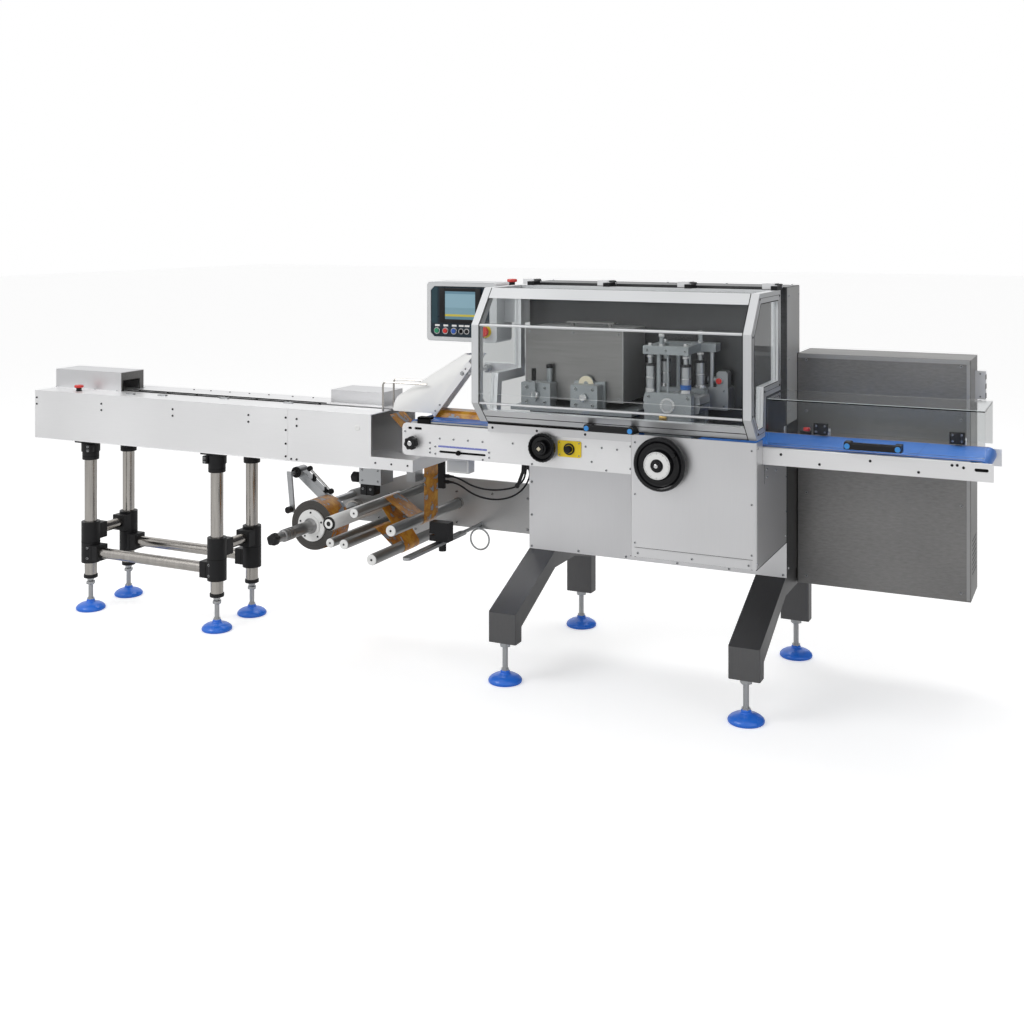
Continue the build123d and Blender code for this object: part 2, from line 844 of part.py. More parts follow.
def cable_entry():
    # box on the side of the upright housing that the cables go up into
    return block(spine_left - 44, spine_left, 54, 84, gland_box_z, gland_box_z + 30)


cable_routes = {
    "upper": [
        (-61, -60, 652), (-32, -60, 652), (-4, -53, 641), (28, -36, 619), (66, -14, 605), (107, 9, 600),
        (146, 29, 604), (171, 42, 610), (190, 53, 623), (202, 61, 641), (206, 64, 658), (206, 64, 680),
    ],
    "lower": [
        (-61, -60, 630), (-32, -60, 630), (-4, -53, 617), (26, -37, 591), (62, -14, 572), (104, 10, 563),
        (144, 30, 568), (172, 45, 580), (193, 56, 597), (209, 63, 618), (219, 68, 641), (223, 70, 660),
        (223, 70, 680),
    ],
}


def sensor_cable(name):
    # straight runs joined by tangent arcs, each arc as large as its two runs allow
    points = [Vector(*p) for p in cable_routes[name]]
    runs = [b - a for a, b in zip(points, points[1:])]
    radii = []
    for a, b in zip(runs, runs[1:]):
        half_turn = math.radians(a.get_angle(b)) / 2
        radii.append(0.45 * min(a.length, b.length) / math.tan(half_turn))
    path = FilletPolyline(*points, radius=radii)
    print(f"sensor_cable_{name}: length {path.length:.0f} mm, radii", [round(r) for r in radii])
    section = Plane(origin=points[0], z_dir=runs[0]) * RegularPolygon(cable_d / 2, 8)
    return sweep(section, path)


# Hood

hood_outline = [
    (hood_bottom_y, hood_bottom), (hood_front, hood_knee_low), (hood_front, hood_knee_high),
    (hood_top_y, hood_top), (hood_back, hood_top), (hood_back, hood_step_z),
    (hood_step_y, hood_step_z), (hood_step_y - 12, hood_bottom),
]


def hood_face(offset_by):
    face = make_face(Polyline(*[(0, y, z) for y, z in hood_outline], close=True))
    if offset_by:
        face = offset(face, amount=-offset_by, kind=Kind.INTERSECTION)
    return face


def hood_side_ring(x0):
    outer = extrude(hood_face(0), amount=hood_post_w, dir=(1, 0, 0))
    inner = extrude(hood_face(hood_rail), amount=hood_post_w, dir=(1, 0, 0))
    return Pos(x0, 0, 0) * (outer - inner)


def hood_frame():
    x0 = hood_left + hood_post_w
    x1 = hood_right - hood_post_w
    frame = hood_side_ring(hood_left) + hood_side_ring(x1)
    outer = Pos(x0, 0, 0) * extrude(hood_face(0), amount=x1 - x0, dir=(1, 0, 0))
    inner = Pos(x0, 0, 0) * extrude(hood_face(hood_rail), amount=x1 - x0, dir=(1, 0, 0))
    shell = outer - inner
    top_front = block(x0, x1, hood_top_y - 40, hood_top_y + 20, hood_top - hood_rail, hood_top)
    top_back = block(x0, x1, hood_back - hood_rail, hood_back, hood_top - hood_rail, hood_top)
    bottom = block(x0, x1, hood_front, hood_bottom_y + 32, hood_bottom, hood_bottom + hood_low_rail)
    frame += (shell & top_front) + (shell & top_back) + (shell & bottom)
    # strips that join the flat panes at the two knees of the front
    band = extrude(hood_face(2), amount=x1 - x0, dir=(1, 0, 0))
    band = Pos(x0, 0, 0) * (band - extrude(hood_face(4 + pane_t), amount=x1 - x0, dir=(1, 0, 0)))
    half = knee_strip_w / 2
    for z in (hood_knee_low, hood_knee_high):
        frame += band & block(x0, x1, hood_front, hood_front + 40, z - half, z + half)
    return frame


def hood_panes():
    x0 = hood_left + hood_post_w
    x1 = hood_right - hood_post_w
    outer = extrude(hood_face(4), amount=x1 - x0, dir=(1, 0, 0))
    inner = extrude(hood_face(4 + pane_t), amount=x1 - x0, dir=(1, 0, 0))
    skin = Pos(x0, 0, 0) * (outer - inner)
    half = knee_strip_w / 2
    levels = [(hood_bottom + hood_low_rail, hood_knee_low - half), (hood_knee_low + half, hood_knee_high - half),
              (hood_knee_high + half, hood_top - hood_rail)]
    panes = [skin & block(x0, x1, hood_front, hood_top_y + 20, z0, z1) for z0, z1 in levels]
    panes.append(block(x0, x1, hood_top_y + 20, hood_back - hood_rail, hood_top - 12, hood_top - 12 + sheet_t))
    for x in (hood_left + 8, hood_right - 8 - pane_t):
        panes.append(Pos(x, 0, 0) * extrude(hood_face(hood_rail), amount=pane_t, dir=(1, 0, 0)))
    return panes


def hood_hinge_blocks():
    # fixed halves on the front edge of the housing, each with the pin that its leaf turns on
    blocks = []
    for x in hood_hinge_xs:
        half = block(x - hinge_block_w, x - 1, hood_hinge_y - 12, spine_front, hood_top + 1, hood_hinge_z + 10)
        blocks.append(half + rod_x(hood_hinge_y, hood_hinge_z, x - 2, x + hinge_leaf_w + 2, hinge_pin_d))
    return blocks


def hood_hinge_leaves():
    leaves = []
    for x in hood_hinge_xs:
        leaf = rod_x(hood_hinge_y, hood_hinge_z, x, x + hinge_leaf_w, 20)
        leaf += block(x, x + hinge_leaf_w, hood_back - hood_rail, hood_hinge_y, hood_top, hood_hinge_z + 4)
        leaves.append(leaf - rod_x(hood_hinge_y, hood_hinge_z, x - 1, x + hinge_leaf_w + 1,
                                   hinge_pin_d + 2 * bearing_play))
    return leaves


def hood_handle():
    x0 = hood_handle_x
    z = hood_bottom + 12
    handle = bridge_handle(x0, x0 + hood_handle_len, hood_bottom_y, z, 52)
    return handle - Pos(x0 - 1, 0, 0) * extrude(hood_face(0), amount=hood_handle_len + 2, dir=(1, 0, 0))


def guard_handle():
    x0 = guard_handle_x - guard_handle_len / 2
    return bridge_handle(x0, x0 + guard_handle_len, guard_front, guard_bottom + 16, 36)


def bridge_handle(x0, x1, y, z, reach):
    # bevelled bar between two lugs, standing out towards the front
    bar = block(x0, x1, y - reach - 11, y - reach + 11, z - 11, z + 11)
    bar = chamfer(bar.edges().filter_by(Axis.X), 5)
    for x in (x0 + 10, x1 - 10):
        bar += block(x - 10, x + 10, y - reach, y, z - 11, z + 11)
    return bar


# Sealing units under the hood

def seal_cover():
    # sheet cover with a raised flat bar on its roof
    cover = block(seal_box_left, seal_box_right, seal_box_front, spine_front, seal_box_bottom, seal_box_top)
    cover = fillet(cover.edges().filter_by(Axis.Z).group_by(Axis.Y)[0], 3)
    bar = block(seal_box_left + 110, seal_box_right - 75, -86, -58, seal_box_top + 12, seal_box_top + 17)
    for x in (seal_box_left + 130, seal_box_right - 95):
        bar += rod_z(x, -72, seal_box_top, seal_box_top + 12, 14)
    return cover + bar


def seal_deck():
    return block(deck_left, deck_right, deck_front, spine_front, deck_z, deck_z + deck_t)


def adjuster(x0, width, lever):
    # bolted housing that sets the height of a sealing wheel
    x1 = x0 + width
    y0 = deck_front + 4
    z0 = deck_z + deck_t
    top = z0 + adjuster_h
    back = seal_box_front - 2
    body = block(x0, x1, y0, back, z0, top)
    body = chamfer(body.edges().filter_by(Axis.Y), 3)
    body += rod_y((x0 + x1) / 2, (z0 + top) / 2, y0 - 10, y0, 30)
    if lever:
        body += block((x0 + x1) / 2 - 5, (x0 + x1) / 2 + 5, y0 - 18, y0 - 10, (z0 + top) / 2 - 20, top + 50)
        body += rod_z(x1 - 22, back - 14, top, top + 48, 20)
    else:
        # tall rear plate with the edge of a round scale above it
        body += block(x0 - 8, x1 + 10, back - 8, back, z0, top + 8)
        body += rod_y(x0 + width / 2 - 10, top, back - 14, back - 8, 56)
    return body


crimp_lower_z = crimp_upper_z - 2 * crimp_reach - crimp_gap
crimp_front_y = line_y - crimp_span / 2 - crimp_plate_t
crimp_back_y = line_y + crimp_span / 2


def crimp_end_plate(y0):
    # bearing plate with the bores of both sealing shafts
    half = crimp_plate_w / 2
    plate = block(crimp_x - half, crimp_x + half, y0, y0 + crimp_plate_t, drive_top, crimp_block_top)
    plate = chamfer(plate.edges().filter_by(Axis.Y), 6)
    for z in (crimp_upper_z, crimp_lower_z):
        plate -= rod_y(crimp_x, z, y0 - 1, y0 + crimp_plate_t + 1, crimp_shaft_d + 2 * bearing_play)
    return plate


def crimp_rotor(z):
    # hub with two opposite tapered arms; each ends in a sealing jaw whose round face is split by a knife groove
    y0 = line_y - crimp_span / 2 + 6
    y1 = line_y + crimp_span / 2 - 6
    hub = crimp_hub_d / 2
    neck = jaw_neck / 2
    face = jaw_face / 2
    root = crimp_reach - jaw_depth
    edge = math.sqrt(crimp_reach ** 2 - face ** 2)

    def jaw_outline(side):
        # one arm from the upper to the lower side of the hub
        tip = ThreePointArc((side * edge, 0, face), (side * crimp_reach, 0, 0), (side * edge, 0, -face))
        top = Polyline((0, 0, hub), (side * root, 0, neck), (side * root, 0, face), (side * edge, 0, face))
        low = Polyline((side * edge, 0, -face), (side * root, 0, -face), (side * root, 0, -neck), (0, 0, -hub))
        return top + tip + low

    profile = make_face(jaw_outline(1) + jaw_outline(-1))
    rotor = Pos(crimp_x, y0, z) * extrude(profile, amount=y1 - y0, dir=(0, 1, 0))
    for side in (-1, 1):
        x0, x1 = sorted((crimp_x + side * (crimp_reach - 8), crimp_x + side * (crimp_reach + 1)))
        rotor -= block(x0, x1, y0 - 1, y1 + 1, z - 2, z + 2)
    return rotor + rod_y(crimp_x, z, crimp_front_y - 6, crimp_back_y + crimp_plate_t + 6, crimp_shaft_d)


def crimp_columns():
    # spring columns between the end plates and the yoke
    columns = []
    y0 = line_y - crimp_span / 2 - crimp_plate_t / 2
    y1 = line_y + crimp_span / 2 + crimp_plate_t / 2
    top = crimp_yoke_z
    base = crimp_block_top
    for x, y in ((crimp_x - 66, y0), (crimp_x + 58, y0), (crimp_x - 66, y1), (crimp_x + 58, y1)):
        columns.append(rod_z(x, y, base, top - 32, 30) + rod_z(x, y, top - 32, top, 16))
    return columns


def crimp_drive():
    # gear block on the upright housing with a motor head and a slim cylinder standing on it
    y0 = crimp_back_y + crimp_plate_t + 6
    right = drive_block_left + drive_block_w
    z0 = drive_block_bottom
    z1 = z0 + drive_block_h
    drive = block(drive_block_left, right, y0, spine_front, z0, z1)
    drive = chamfer(drive.edges().filter_by(Axis.Y), 4)
    head = block(right - drive_head_w, right - 2, y0 + 2, y0 + 46, z1, z1 + drive_head_h)
    drive += chamfer(head.edges().filter_by(Axis.Y).group_by(Axis.Z)[-1], 8)
    knob_z = z1 + drive_head_h * 0.4
    drive += rod_x(y0 + 16, knob_z, right - drive_head_w - 46, right - drive_head_w, 26)
    drive += rod_y(right - drive_head_w + 12, knob_z, y0 - 10, y0 + 2, 24)
    return drive + rod_z(right - drive_head_w - 19, y0 + 8, z1, crimp_yoke_z, 18)


def crimp_yoke():
    # front and rear cross beams joined by a side link
    z0, z1 = crimp_yoke_z, crimp_yoke_z + 28
    y0 = line_y - crimp_span / 2 - crimp_plate_t / 2
    y1 = line_y + crimp_span / 2 + crimp_plate_t / 2
    yoke = block(crimp_x - 88, crimp_x + 72, y0 - 15, y0 + 15, z0, z1)
    yoke += block(crimp_x - 88, crimp_x + 118, y1 - 15, y1 + 42, z0, z1)
    yoke += block(crimp_x + 40, crimp_x + 66, y0 + 15, y1 - 15, z0, z1)
    yoke += block(crimp_x - 82, crimp_x - 56, y0 + 15, y1 - 15, z0, z1)
    for x, y in ((crimp_x - 26, y0), (crimp_x + 60, y1)):
        yoke += rod_z(x, y, z1, z1 + 30, 16)
    for dx, y, d in ((-36, y0, 16), (-4, y0, 9), (-20, y1, 16), (22, y1, 9)):
        yoke += rod_z(crimp_x + dx, y, crimp_block_top, z0, d)
    return yoke


# Operator panel

def hmi_box():
    box = block(hmi_left, hmi_right, hmi_front, hmi_back, hmi_bottom, hmi_top)
    box = fillet(box.edges().filter_by(Axis.Y), hmi_corner)
    facia_y = hmi_front + facia_depth
    recess = block(hmi_left + facia_margin, hmi_right - facia_right_margin, hmi_front - 1, facia_y,
                   hmi_bottom + facia_margin, hmi_top - facia_margin)
    recess = chamfer(recess.edges().filter_by(Axis.Y), facia_margin)
    screen_right = hmi_right - screen_right_margin
    screen_top = hmi_top - screen_drop
    bezel = block(screen_right - screen_w, screen_right, hmi_front - 2, facia_y, screen_top - screen_h, screen_top)
    # hollow arm to the upright housing, with the flat shelf of the upper stop button
    arm = block(hmi_right, spine_left, hmi_back - 60, hmi_back + 20, hmi_top - 150, hmi_top - 20)
    shelf = block(hmi_right - 20, spine_left, hmi_back - 90, hmi_back, hmi_top - 20, hmi_top - 12)
    return box - recess + bezel + arm + shelf


def small_knob(x, z, face_y, d, length):
    return star_knob(x, z, face_y - length, face_y - 6, d / 2, 7) + rod_y(x, z, face_y - 6, face_y, d * 0.6)


def switch_plate():
    plate = block(switch_plate_x, switch_plate_x + 86, plate_front_y - 4, plate_front_y,
                  switch_plate_z - 28, switch_plate_z + 28)
    return plate + rod_y(switch_plate_x + 43, switch_plate_z, plate_front_y - 22, plate_front_y - 4, 34)


def mushroom(x, y, z, axis_y):
    # red stop button on its stem; it points up or towards the front
    button = Pos(0, 0, 7) * Cylinder(11, 14) + Pos(0, 0, 20) * Cylinder(19, 12)
    return Pos(x, y, z) * (Rot(90, 0, 0) if axis_y else Rot(0, 0, 0)) * button


# Outfeed guard

def guard_panes():
    front = block(guard_left, guard_right, guard_front, guard_front + pane_t, guard_bottom, guard_top)
    back = block(guard_left, guard_right, guard_back - pane_t, guard_back, guard_bottom + 8, guard_top)
    roof = block(guard_left, guard_right, guard_front + pane_t, guard_back - pane_t, guard_top - pane_t, guard_top)
    return front + back + roof


def guard_hinge_leaves():
    # leaves screwed to the back pane, turning on pins held by the outfeed plate
    leaves = []
    for x in guard_hinge_xs:
        leaf = block(x - 24, x + 24, guard_back, guard_back + 5, guard_hinge_z - 2, guard_hinge_z + 28)
        leaf += block(x - 10, x + 10, guard_back, guard_hinge_y, guard_hinge_z - 6, guard_hinge_z + 6)
        leaf += rod_x(guard_hinge_y, guard_hinge_z, x - 10, x + 10, 14)
        leaves.append(leaf - rod_x(guard_hinge_y, guard_hinge_z, x - 11, x + 11, hinge_pin_d + 2 * bearing_play))
    return leaves


def guard_hinge_bases():
    bases = []
    for x in guard_hinge_xs:
        base = rod_x(guard_hinge_y, guard_hinge_z, x - 24, x + 24, hinge_pin_d)
        for side in (-1, 1):
            x0, x1 = sorted((x + side * 11, x + side * 24))
            base += block(x0, x1, plate_back_y, plate_back_y + plate_t + 8, out_plate_bottom + out_plate_h,
                          guard_hinge_z + 6)
        bases.append(base)
    return bases


# Electrical cabinet

def cabinet():
    body = block(spine_right, cabinet_right, cabinet_front, cabinet_back, cabinet_bottom, cabinet_top)
    return fillet(body.edges().filter_by(Axis.Z), 4)


def cable_duct():
    return block(cabinet_right, cabinet_right + duct_w, duct_y - duct_depth / 2, duct_y + duct_depth / 2,
                 duct_bottom, duct_bottom + duct_h)


# Tray under the end of the infeed, with its clamped support

def end_tray():
    outer = block(infeed_right, tray_right, infeed_front, infeed_back, tray_bottom, tray_top)
    inner = block(infeed_right - 1, tray_right - sheet_t, infeed_front + sheet_t, infeed_back - sheet_t,
                  tray_bottom + sheet_t, tray_top + 1)
    slot = block(web_x - 10, web_x + 6, line_y - film_w / 2 - 8, line_y + film_w / 2 + 8,
                 tray_bottom - 1, tray_bottom + sheet_t + 1)
    return outer - inner - slot


def tray_support():
    # box bracket that carries the tray on the unwind plate through an upright and a beam
    top = tray_bottom - tray_plate_t
    right = infeed_right + 6
    front = infeed_front + 60
    head = block(right - tray_head_w, right, front, front + tray_head_depth, top - tray_head_h, top)
    head += block(right - 76, right + 54, front, unwind_y, top, tray_bottom)
    x = right - 26 - tray_upright_w
    upright = block(x, x + tray_upright_w, unwind_y - 60, unwind_y, tray_upright_bottom, top)
    return head + upright


# Forming plough

plough_slope = 31.0
plough_rim_slope = 52.0


def forming_plough():
    # arched white sheet that folds the film round the product, cut off along the sloping rim
    lean = math.radians(plough_slope)
    along = (math.cos(lean), 0, math.sin(lean))
    plane = Plane(origin=(plough_left + 10, line_y, belt_top + 4), x_dir=(0, 1, 0), z_dir=along)

    def arch(r, skirt):
        curve = ThreePointArc((-r, 0), (0, r), (r, 0))
        return make_face(curve + Polyline((r, 0), (r, -skirt), (-r, -skirt), (-r, 0)))

    length = 2 * plough_rise
    sheet = extrude(plane * arch(plough_r, plough_skirt), amount=length)
    sheet -= extrude(plane * arch(plough_r - sheet_t, plough_skirt + 1), amount=length)
    x0 = plough_mouth_x
    z0 = belt_top + 14
    z1 = z0 + plough_rise
    reach = plough_rise / math.tan(math.radians(plough_rim_slope))
    keep = [(plough_left, z0), (x0, z0), (x0 + reach, z1), (plough_left, z1)]
    return sheet & front_profile(keep, line_y - plough_r - 1, line_y + plough_r + 1)


def plough_bar():
    # flat bar along the rim, held by a round arm between the belt and the operator panel
    foot_z = belt_top + 10
    arm_z = belt_top + plough_arm_share * (hmi_bottom - belt_top)
    arm_x = plough_bar_x + (arm_z - foot_z) / math.tan(math.radians(plough_rim_slope))
    length = math.hypot(arm_x - plough_bar_x, arm_z - foot_z) + plough_bar_end
    bar = Pos(length / 2, 0, 0) * Box(length, plough_bar_t, plough_bar_w)
    bar = fillet(bar.edges().filter_by(Axis.Y).group_by(Axis.X)[-1], plough_bar_w / 3)
    bar -= Pos(length - 28, 0, 0) * Rot(90, 0, 0) * Cylinder(4, 2 * plough_bar_t)
    y = line_y - plough_r - plough_bar_t / 2
    bar = Pos(plough_bar_x, y, foot_z) * Rot(0, -plough_rim_slope, 0) * bar
    # the arm ends in a bracket on the upright housing
    bar += rod_y(arm_x, arm_z, y + plough_bar_t / 2, spine_front - 24, plough_arm_d)
    half = 20.0
    return bar + block(arm_x - half, spine_left + 60, spine_front - 24, spine_front, arm_z - half, arm_z + half)


def guide_wires():
    # two bent wires that hold the film edges at the mouth of the plough
    wires = []
    for x, y, end in ((-252.0, line_y - plough_r - 8, -64.0), (-262.0, line_y + 28, -122.0)):
        path = FilletPolyline((x, y, infeed_top), (x, y, wire_top), (end, y, wire_top), radius=14)
        section = Plane(origin=(x, y, infeed_top), z_dir=(0, 0, 1)) * RegularPolygon(3.7, 8)
        wires.append(sweep(section, path))
    return wires


# Main

def build():
    os.makedirs("parts", exist_ok=True)
    main_feet = [(x, y) for x in (leg_left_x, leg_right_x) for y in (front_foot_y, rear_foot_y)]
    save("foot_pads", *[foot_pad(x, y) for x, y in main_feet + infeed_leg_spots])
    save("foot_stems", *[foot_stem(x, y, leg_bottom) for x, y in main_feet],
         *[foot_stem(x, y, column_bottom) for x, y in infeed_leg_spots])
    save("leg_frames", leg_frame(leg_left_x), leg_frame(leg_right_x))
    save("spine_housing", spine_housing())
    save("front_trim_panels", lower_panel(), cover_strip(), beam_rest_bar())
    save("cover_box", cover_box())
    save("drive_housing", drive_housing())
    save("conveyor_side_plates", beam_front_plate(), beam_back_plate(), *outfeed_plates())
    save("conveyor_cross_members", *beam_cross_bars(), *beam_brackets(), *outfeed_cross_bars())
    save("wrap_belt", belt_loop(in_belt_left, in_belt_right))
    save("outfeed_belt", belt_loop(out_belt_left, out_belt_right))
    save("belt_beds_and_rollers",
         belt_bed(in_belt_left, in_belt_right), *belt_rollers(in_belt_left, in_belt_right),
         belt_bed(out_belt_left, out_belt_right), *belt_rollers(out_belt_left, out_belt_right))
    main_wheel = (main_wheel_x, main_wheel_z, cover_front)
    small_wheel = (small_wheel_x, small_wheel_z, plate_front_y)
    save("main_handwheel", handwheel(*main_wheel, main_wheel_d, main_wheel_depth))
    save("small_handwheel", handwheel(*small_wheel, small_wheel_d, small_wheel_depth))
    save("wheel_spindles", wheel_spindle(*main_wheel, main_wheel_depth),
         wheel_spindle(*small_wheel, small_wheel_depth))
    save("infeed_side_panels", *infeed_front_panels(), infeed_back_panel())
    save("infeed_bottom_sheet", infeed_bottom_sheet())
    save("infeed_top_strips", *infeed_top_strips())
    save("infeed_covers", tunnel_cover(), rear_cover())
    save("infeed_chain_drive", chain_loop(), *chain_sprockets())
    save("infeed_support_tubes", *[infeed_column(x, y) for x, y in infeed_leg_spots], *tie_tubes())
    save("infeed_tube_clamps", *[column_head(x, y) for x, y in infeed_leg_spots],
         *[tube_clamps(x, y) for x, y in infeed_leg_spots])
    save("unwind_plate", unwind_plate())
    save("unwind_shafts", reel_shaft(), *[roller_shaft(x, z) for x, z, d in rollers.values()])
    save("reel_hub", reel_hub())
    save("film_roll", film_roll())
    save("film_web", film_web(), film_tube())
    save("unwind_arms", roll_guide_arm(), sensor_bar())
    guide_knob_y = line_y + roll_w / 2 - 40
    save("sensor_blocks", mark_sensor(), cable_bracket(), cable_entry(),
         rod_y(guide_elbow_x + 6, guide_elbow_z - 138, guide_knob_y - 20, guide_knob_y, 26))
    for name in cable_routes:
        save(f"sensor_cable_{name}", sensor_cable(name))
    for name, (x, z, d) in rollers.items():
        save(f"film_roller_{name}", film_roller(x, z, d))
    save("hood_frame", hood_frame())
    save("hood_panes", *hood_panes())
    save("hood_fittings", *hood_hinge_leaves(), hood_handle())
    save("hinge_blocks", *hood_hinge_blocks(), *guard_hinge_bases())
    save("seal_cover", seal_cover())
    save("seal_deck", seal_deck())
    save("seal_adjusters", adjuster(adjuster_left_x, adjuster_left_w, True),
         adjuster(adjuster_right_x, adjuster_right_w, False))
    save("crimp_end_plates", crimp_end_plate(crimp_front_y), crimp_end_plate(crimp_back_y))
    save("upper_crimp_rotor", crimp_rotor(crimp_upper_z))
    save("lower_crimp_rotor", crimp_rotor(crimp_lower_z))
    save("crimp_columns", *crimp_columns(), crimp_drive())
    save("crimp_yoke", crimp_yoke())
    save("hmi_box", hmi_box())
    save("buttons_and_knobs",
         small_knob(beam_knob_x, beam_knob_z, plate_front_y, beam_knob_d, 34),
         switch_plate(),
         mushroom(infeed_button_x, infeed_button_y, infeed_top, False),
         mushroom(hmi_right + 34, hmi_back - 64, hmi_top - 12, False),
         mushroom(hmi_right - 46, hmi_front + 3, hmi_bottom + 42, True))
    save("guard_panes", guard_panes())
    save("guard_fittings", *guard_hinge_leaves(), guard_handle())
    save("electrical_cabinet", cabinet())
    save("cable_duct", cable_duct())
    save("end_tray", end_tray())
    save("tray_support", tray_support())
    save("forming_plough", forming_plough())
    save("plough_bar", plough_bar())
    save("film_guide_wires", *guide_wires())


build()
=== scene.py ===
import bpy
import bmesh
import math
from mathutils import Vector, Matrix, Euler


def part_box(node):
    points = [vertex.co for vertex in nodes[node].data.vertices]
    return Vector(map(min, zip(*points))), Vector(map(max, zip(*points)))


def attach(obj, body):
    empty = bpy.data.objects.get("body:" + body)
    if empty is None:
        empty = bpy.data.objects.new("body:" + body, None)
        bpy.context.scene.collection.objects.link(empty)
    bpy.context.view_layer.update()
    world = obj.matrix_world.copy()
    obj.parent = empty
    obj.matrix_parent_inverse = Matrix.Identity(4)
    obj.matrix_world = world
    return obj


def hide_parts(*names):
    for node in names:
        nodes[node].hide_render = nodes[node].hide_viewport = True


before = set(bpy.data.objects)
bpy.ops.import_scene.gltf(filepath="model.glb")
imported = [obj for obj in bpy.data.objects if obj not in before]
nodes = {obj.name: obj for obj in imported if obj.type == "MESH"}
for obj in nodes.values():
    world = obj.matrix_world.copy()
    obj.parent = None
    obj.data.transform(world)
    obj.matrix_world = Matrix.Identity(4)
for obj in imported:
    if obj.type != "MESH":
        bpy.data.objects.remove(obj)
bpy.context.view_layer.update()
print("frame loaded:", len(nodes), "nodes")


camera = {"place": (2.250, -4.368, 1.600), "turn": 25.35, "lens": 45.27, "shiftY": -0.2793}
lamps = {"keyWatts": 95, "fillWatts": 14, "rimWatts": 45, "ambient": 0.62}

camData = bpy.data.cameras.new("photoCamera")
camData.lens = camera["lens"]
camData.sensor_width = 36
camData.shift_y = camera["shiftY"]
camObject = bpy.data.objects.new("photoCamera", camData)
camObject.location = camera["place"]
camObject.rotation_euler = (math.radians(90), 0, math.radians(camera["turn"]))
bpy.context.scene.collection.objects.link(camObject)
bpy.context.scene.camera = camObject
bpy.context.scene.view_settings.view_transform = "Standard"


def areaLamp(name, place, aim, size, watts):
    data = bpy.data.lights.new(name, "AREA")
    data.shape = "RECTANGLE"
    data.size, data.size_y = size
    data.energy = watts
    lamp = bpy.data.objects.new(name, data)
    lamp.location = place
    lamp.rotation_euler = (Vector(aim) - Vector(place)).to_track_quat("-Z", "Y").to_euler()
    bpy.context.scene.collection.objects.link(lamp)


areaLamp("keySoftbox", (-2.6, -3.6, 4.2), (0, 0, 0.7), (3.0, 2.2), lamps["keyWatts"])
areaLamp("fillSoftbox", (4.4, -2.4, 2.6), (0.6, 0, 0.7), (2.2, 2.2), lamps["fillWatts"])
areaLamp("topSoftbox", (0.3, 1.6, 4.4), (0, 0, 0.8), (4.0, 1.6), lamps["rimWatts"])


def wire(tree, fromSocket, toSocket):
    tree.links.new(fromSocket, toSocket)


def addNode(tree, kind, place=(0, 0), **settings):
    node = tree.nodes.new(kind)
    node.location = place
    for key, value in settings.items():
        setattr(node, key, value)
    return node


def setUpWorld():
    world = bpy.data.worlds.new("studioWorld")
    bpy.context.scene.world = world
    world.use_nodes = True
    tree = world.node_tree
    tree.nodes.clear()
    out = addNode(tree, "ShaderNodeOutputWorld", (700, 0))
    soft = addNode(tree, "ShaderNodeBackground", (200, -120))
    soft.inputs["Color"].default_value = (1, 1, 1, 1)
    soft.inputs["Strength"].default_value = lamps["ambient"]
    white = addNode(tree, "ShaderNodeBackground", (200, 60))
    white.inputs["Strength"].default_value = 1.0
    rays = addNode(tree, "ShaderNodeLightPath", (-500, 300))
    seen = addNode(tree, "ShaderNodeMath", (-250, 300), operation="MAXIMUM")
    wire(tree, rays.outputs["Is Camera Ray"], seen.inputs[0])
    wire(tree, rays.outputs["Is Transmission Ray"], seen.inputs[1])
    both = addNode(tree, "ShaderNodeMath", (-50, 300), operation="MAXIMUM")
    wire(tree, seen.outputs[0], both.inputs[0])
    wire(tree, rays.outputs["Is Glossy Ray"], both.inputs[1])
    # reflections see a room that is a little darker low down and at the far ends
    coord = addNode(tree, "ShaderNodeTexCoord", (-900, -100))
    split = addNode(tree, "ShaderNodeSeparateXYZ", (-700, -100))
    wire(tree, coord.outputs["Generated"], split.inputs[0])
    ramp = addNode(tree, "ShaderNodeValToRGB", (-450, -100))
    ramp.color_ramp.elements[0].position = 0.42
    ramp.color_ramp.elements[0].color = (0.62, 0.63, 0.65, 1)
    ramp.color_ramp.elements[1].position = 0.72
    ramp.color_ramp.elements[1].color = (1, 1, 1, 1)
    height = addNode(tree, "ShaderNodeMapRange", (-600, -300))
    height.inputs["From Min"].default_value = -1
    wire(tree, split.outputs["Z"], height.inputs["Value"])
    wire(tree, height.outputs[0], ramp.inputs[0])
    side = addNode(tree, "ShaderNodeMapRange", (-450, -500), interpolation_type="SMOOTHSTEP")
    side.inputs["From Min"].default_value = 0.0
    side.inputs["From Max"].default_value = 0.22
    wire(tree, split.outputs["X"], side.inputs["Value"])
    behind = addNode(tree, "ShaderNodeMath", (-450, -700), operation="GREATER_THAN")
    behind.inputs[1].default_value = 0.0
    wire(tree, split.outputs["Y"], behind.inputs[0])
    dimSide = addNode(tree, "ShaderNodeMath", (-250, -500), operation="MULTIPLY")
    wire(tree, side.outputs[0], dimSide.inputs[0])
    wire(tree, behind.outputs[0], dimSide.inputs[1])
    dim = addNode(tree, "ShaderNodeMix", (-200, -200), data_type="RGBA")
    dim.inputs[7].default_value = (0.07, 0.07, 0.075, 1)
    wire(tree, dimSide.outputs[0], dim.inputs[0])
    wire(tree, ramp.outputs[0], dim.inputs[6])
    pick = addNode(tree, "ShaderNodeMix", (-100, 60), data_type="RGBA")
    wire(tree, rays.outputs["Is Glossy Ray"], pick.inputs["Factor"])
    pick.inputs[6].default_value = (1, 1, 1, 1)
    wire(tree, dim.outputs[2], pick.inputs[7])
    wire(tree, pick.outputs[2], white.inputs["Color"])
    mix = addNode(tree, "ShaderNodeMixShader", (480, 0))
    wire(tree, both.outputs[0], mix.inputs[0])
    wire(tree, soft.outputs[0], mix.inputs[1])
    wire(tree, white.outputs[0], mix.inputs[2])
    wire(tree, mix.outputs[0], out.inputs[0])


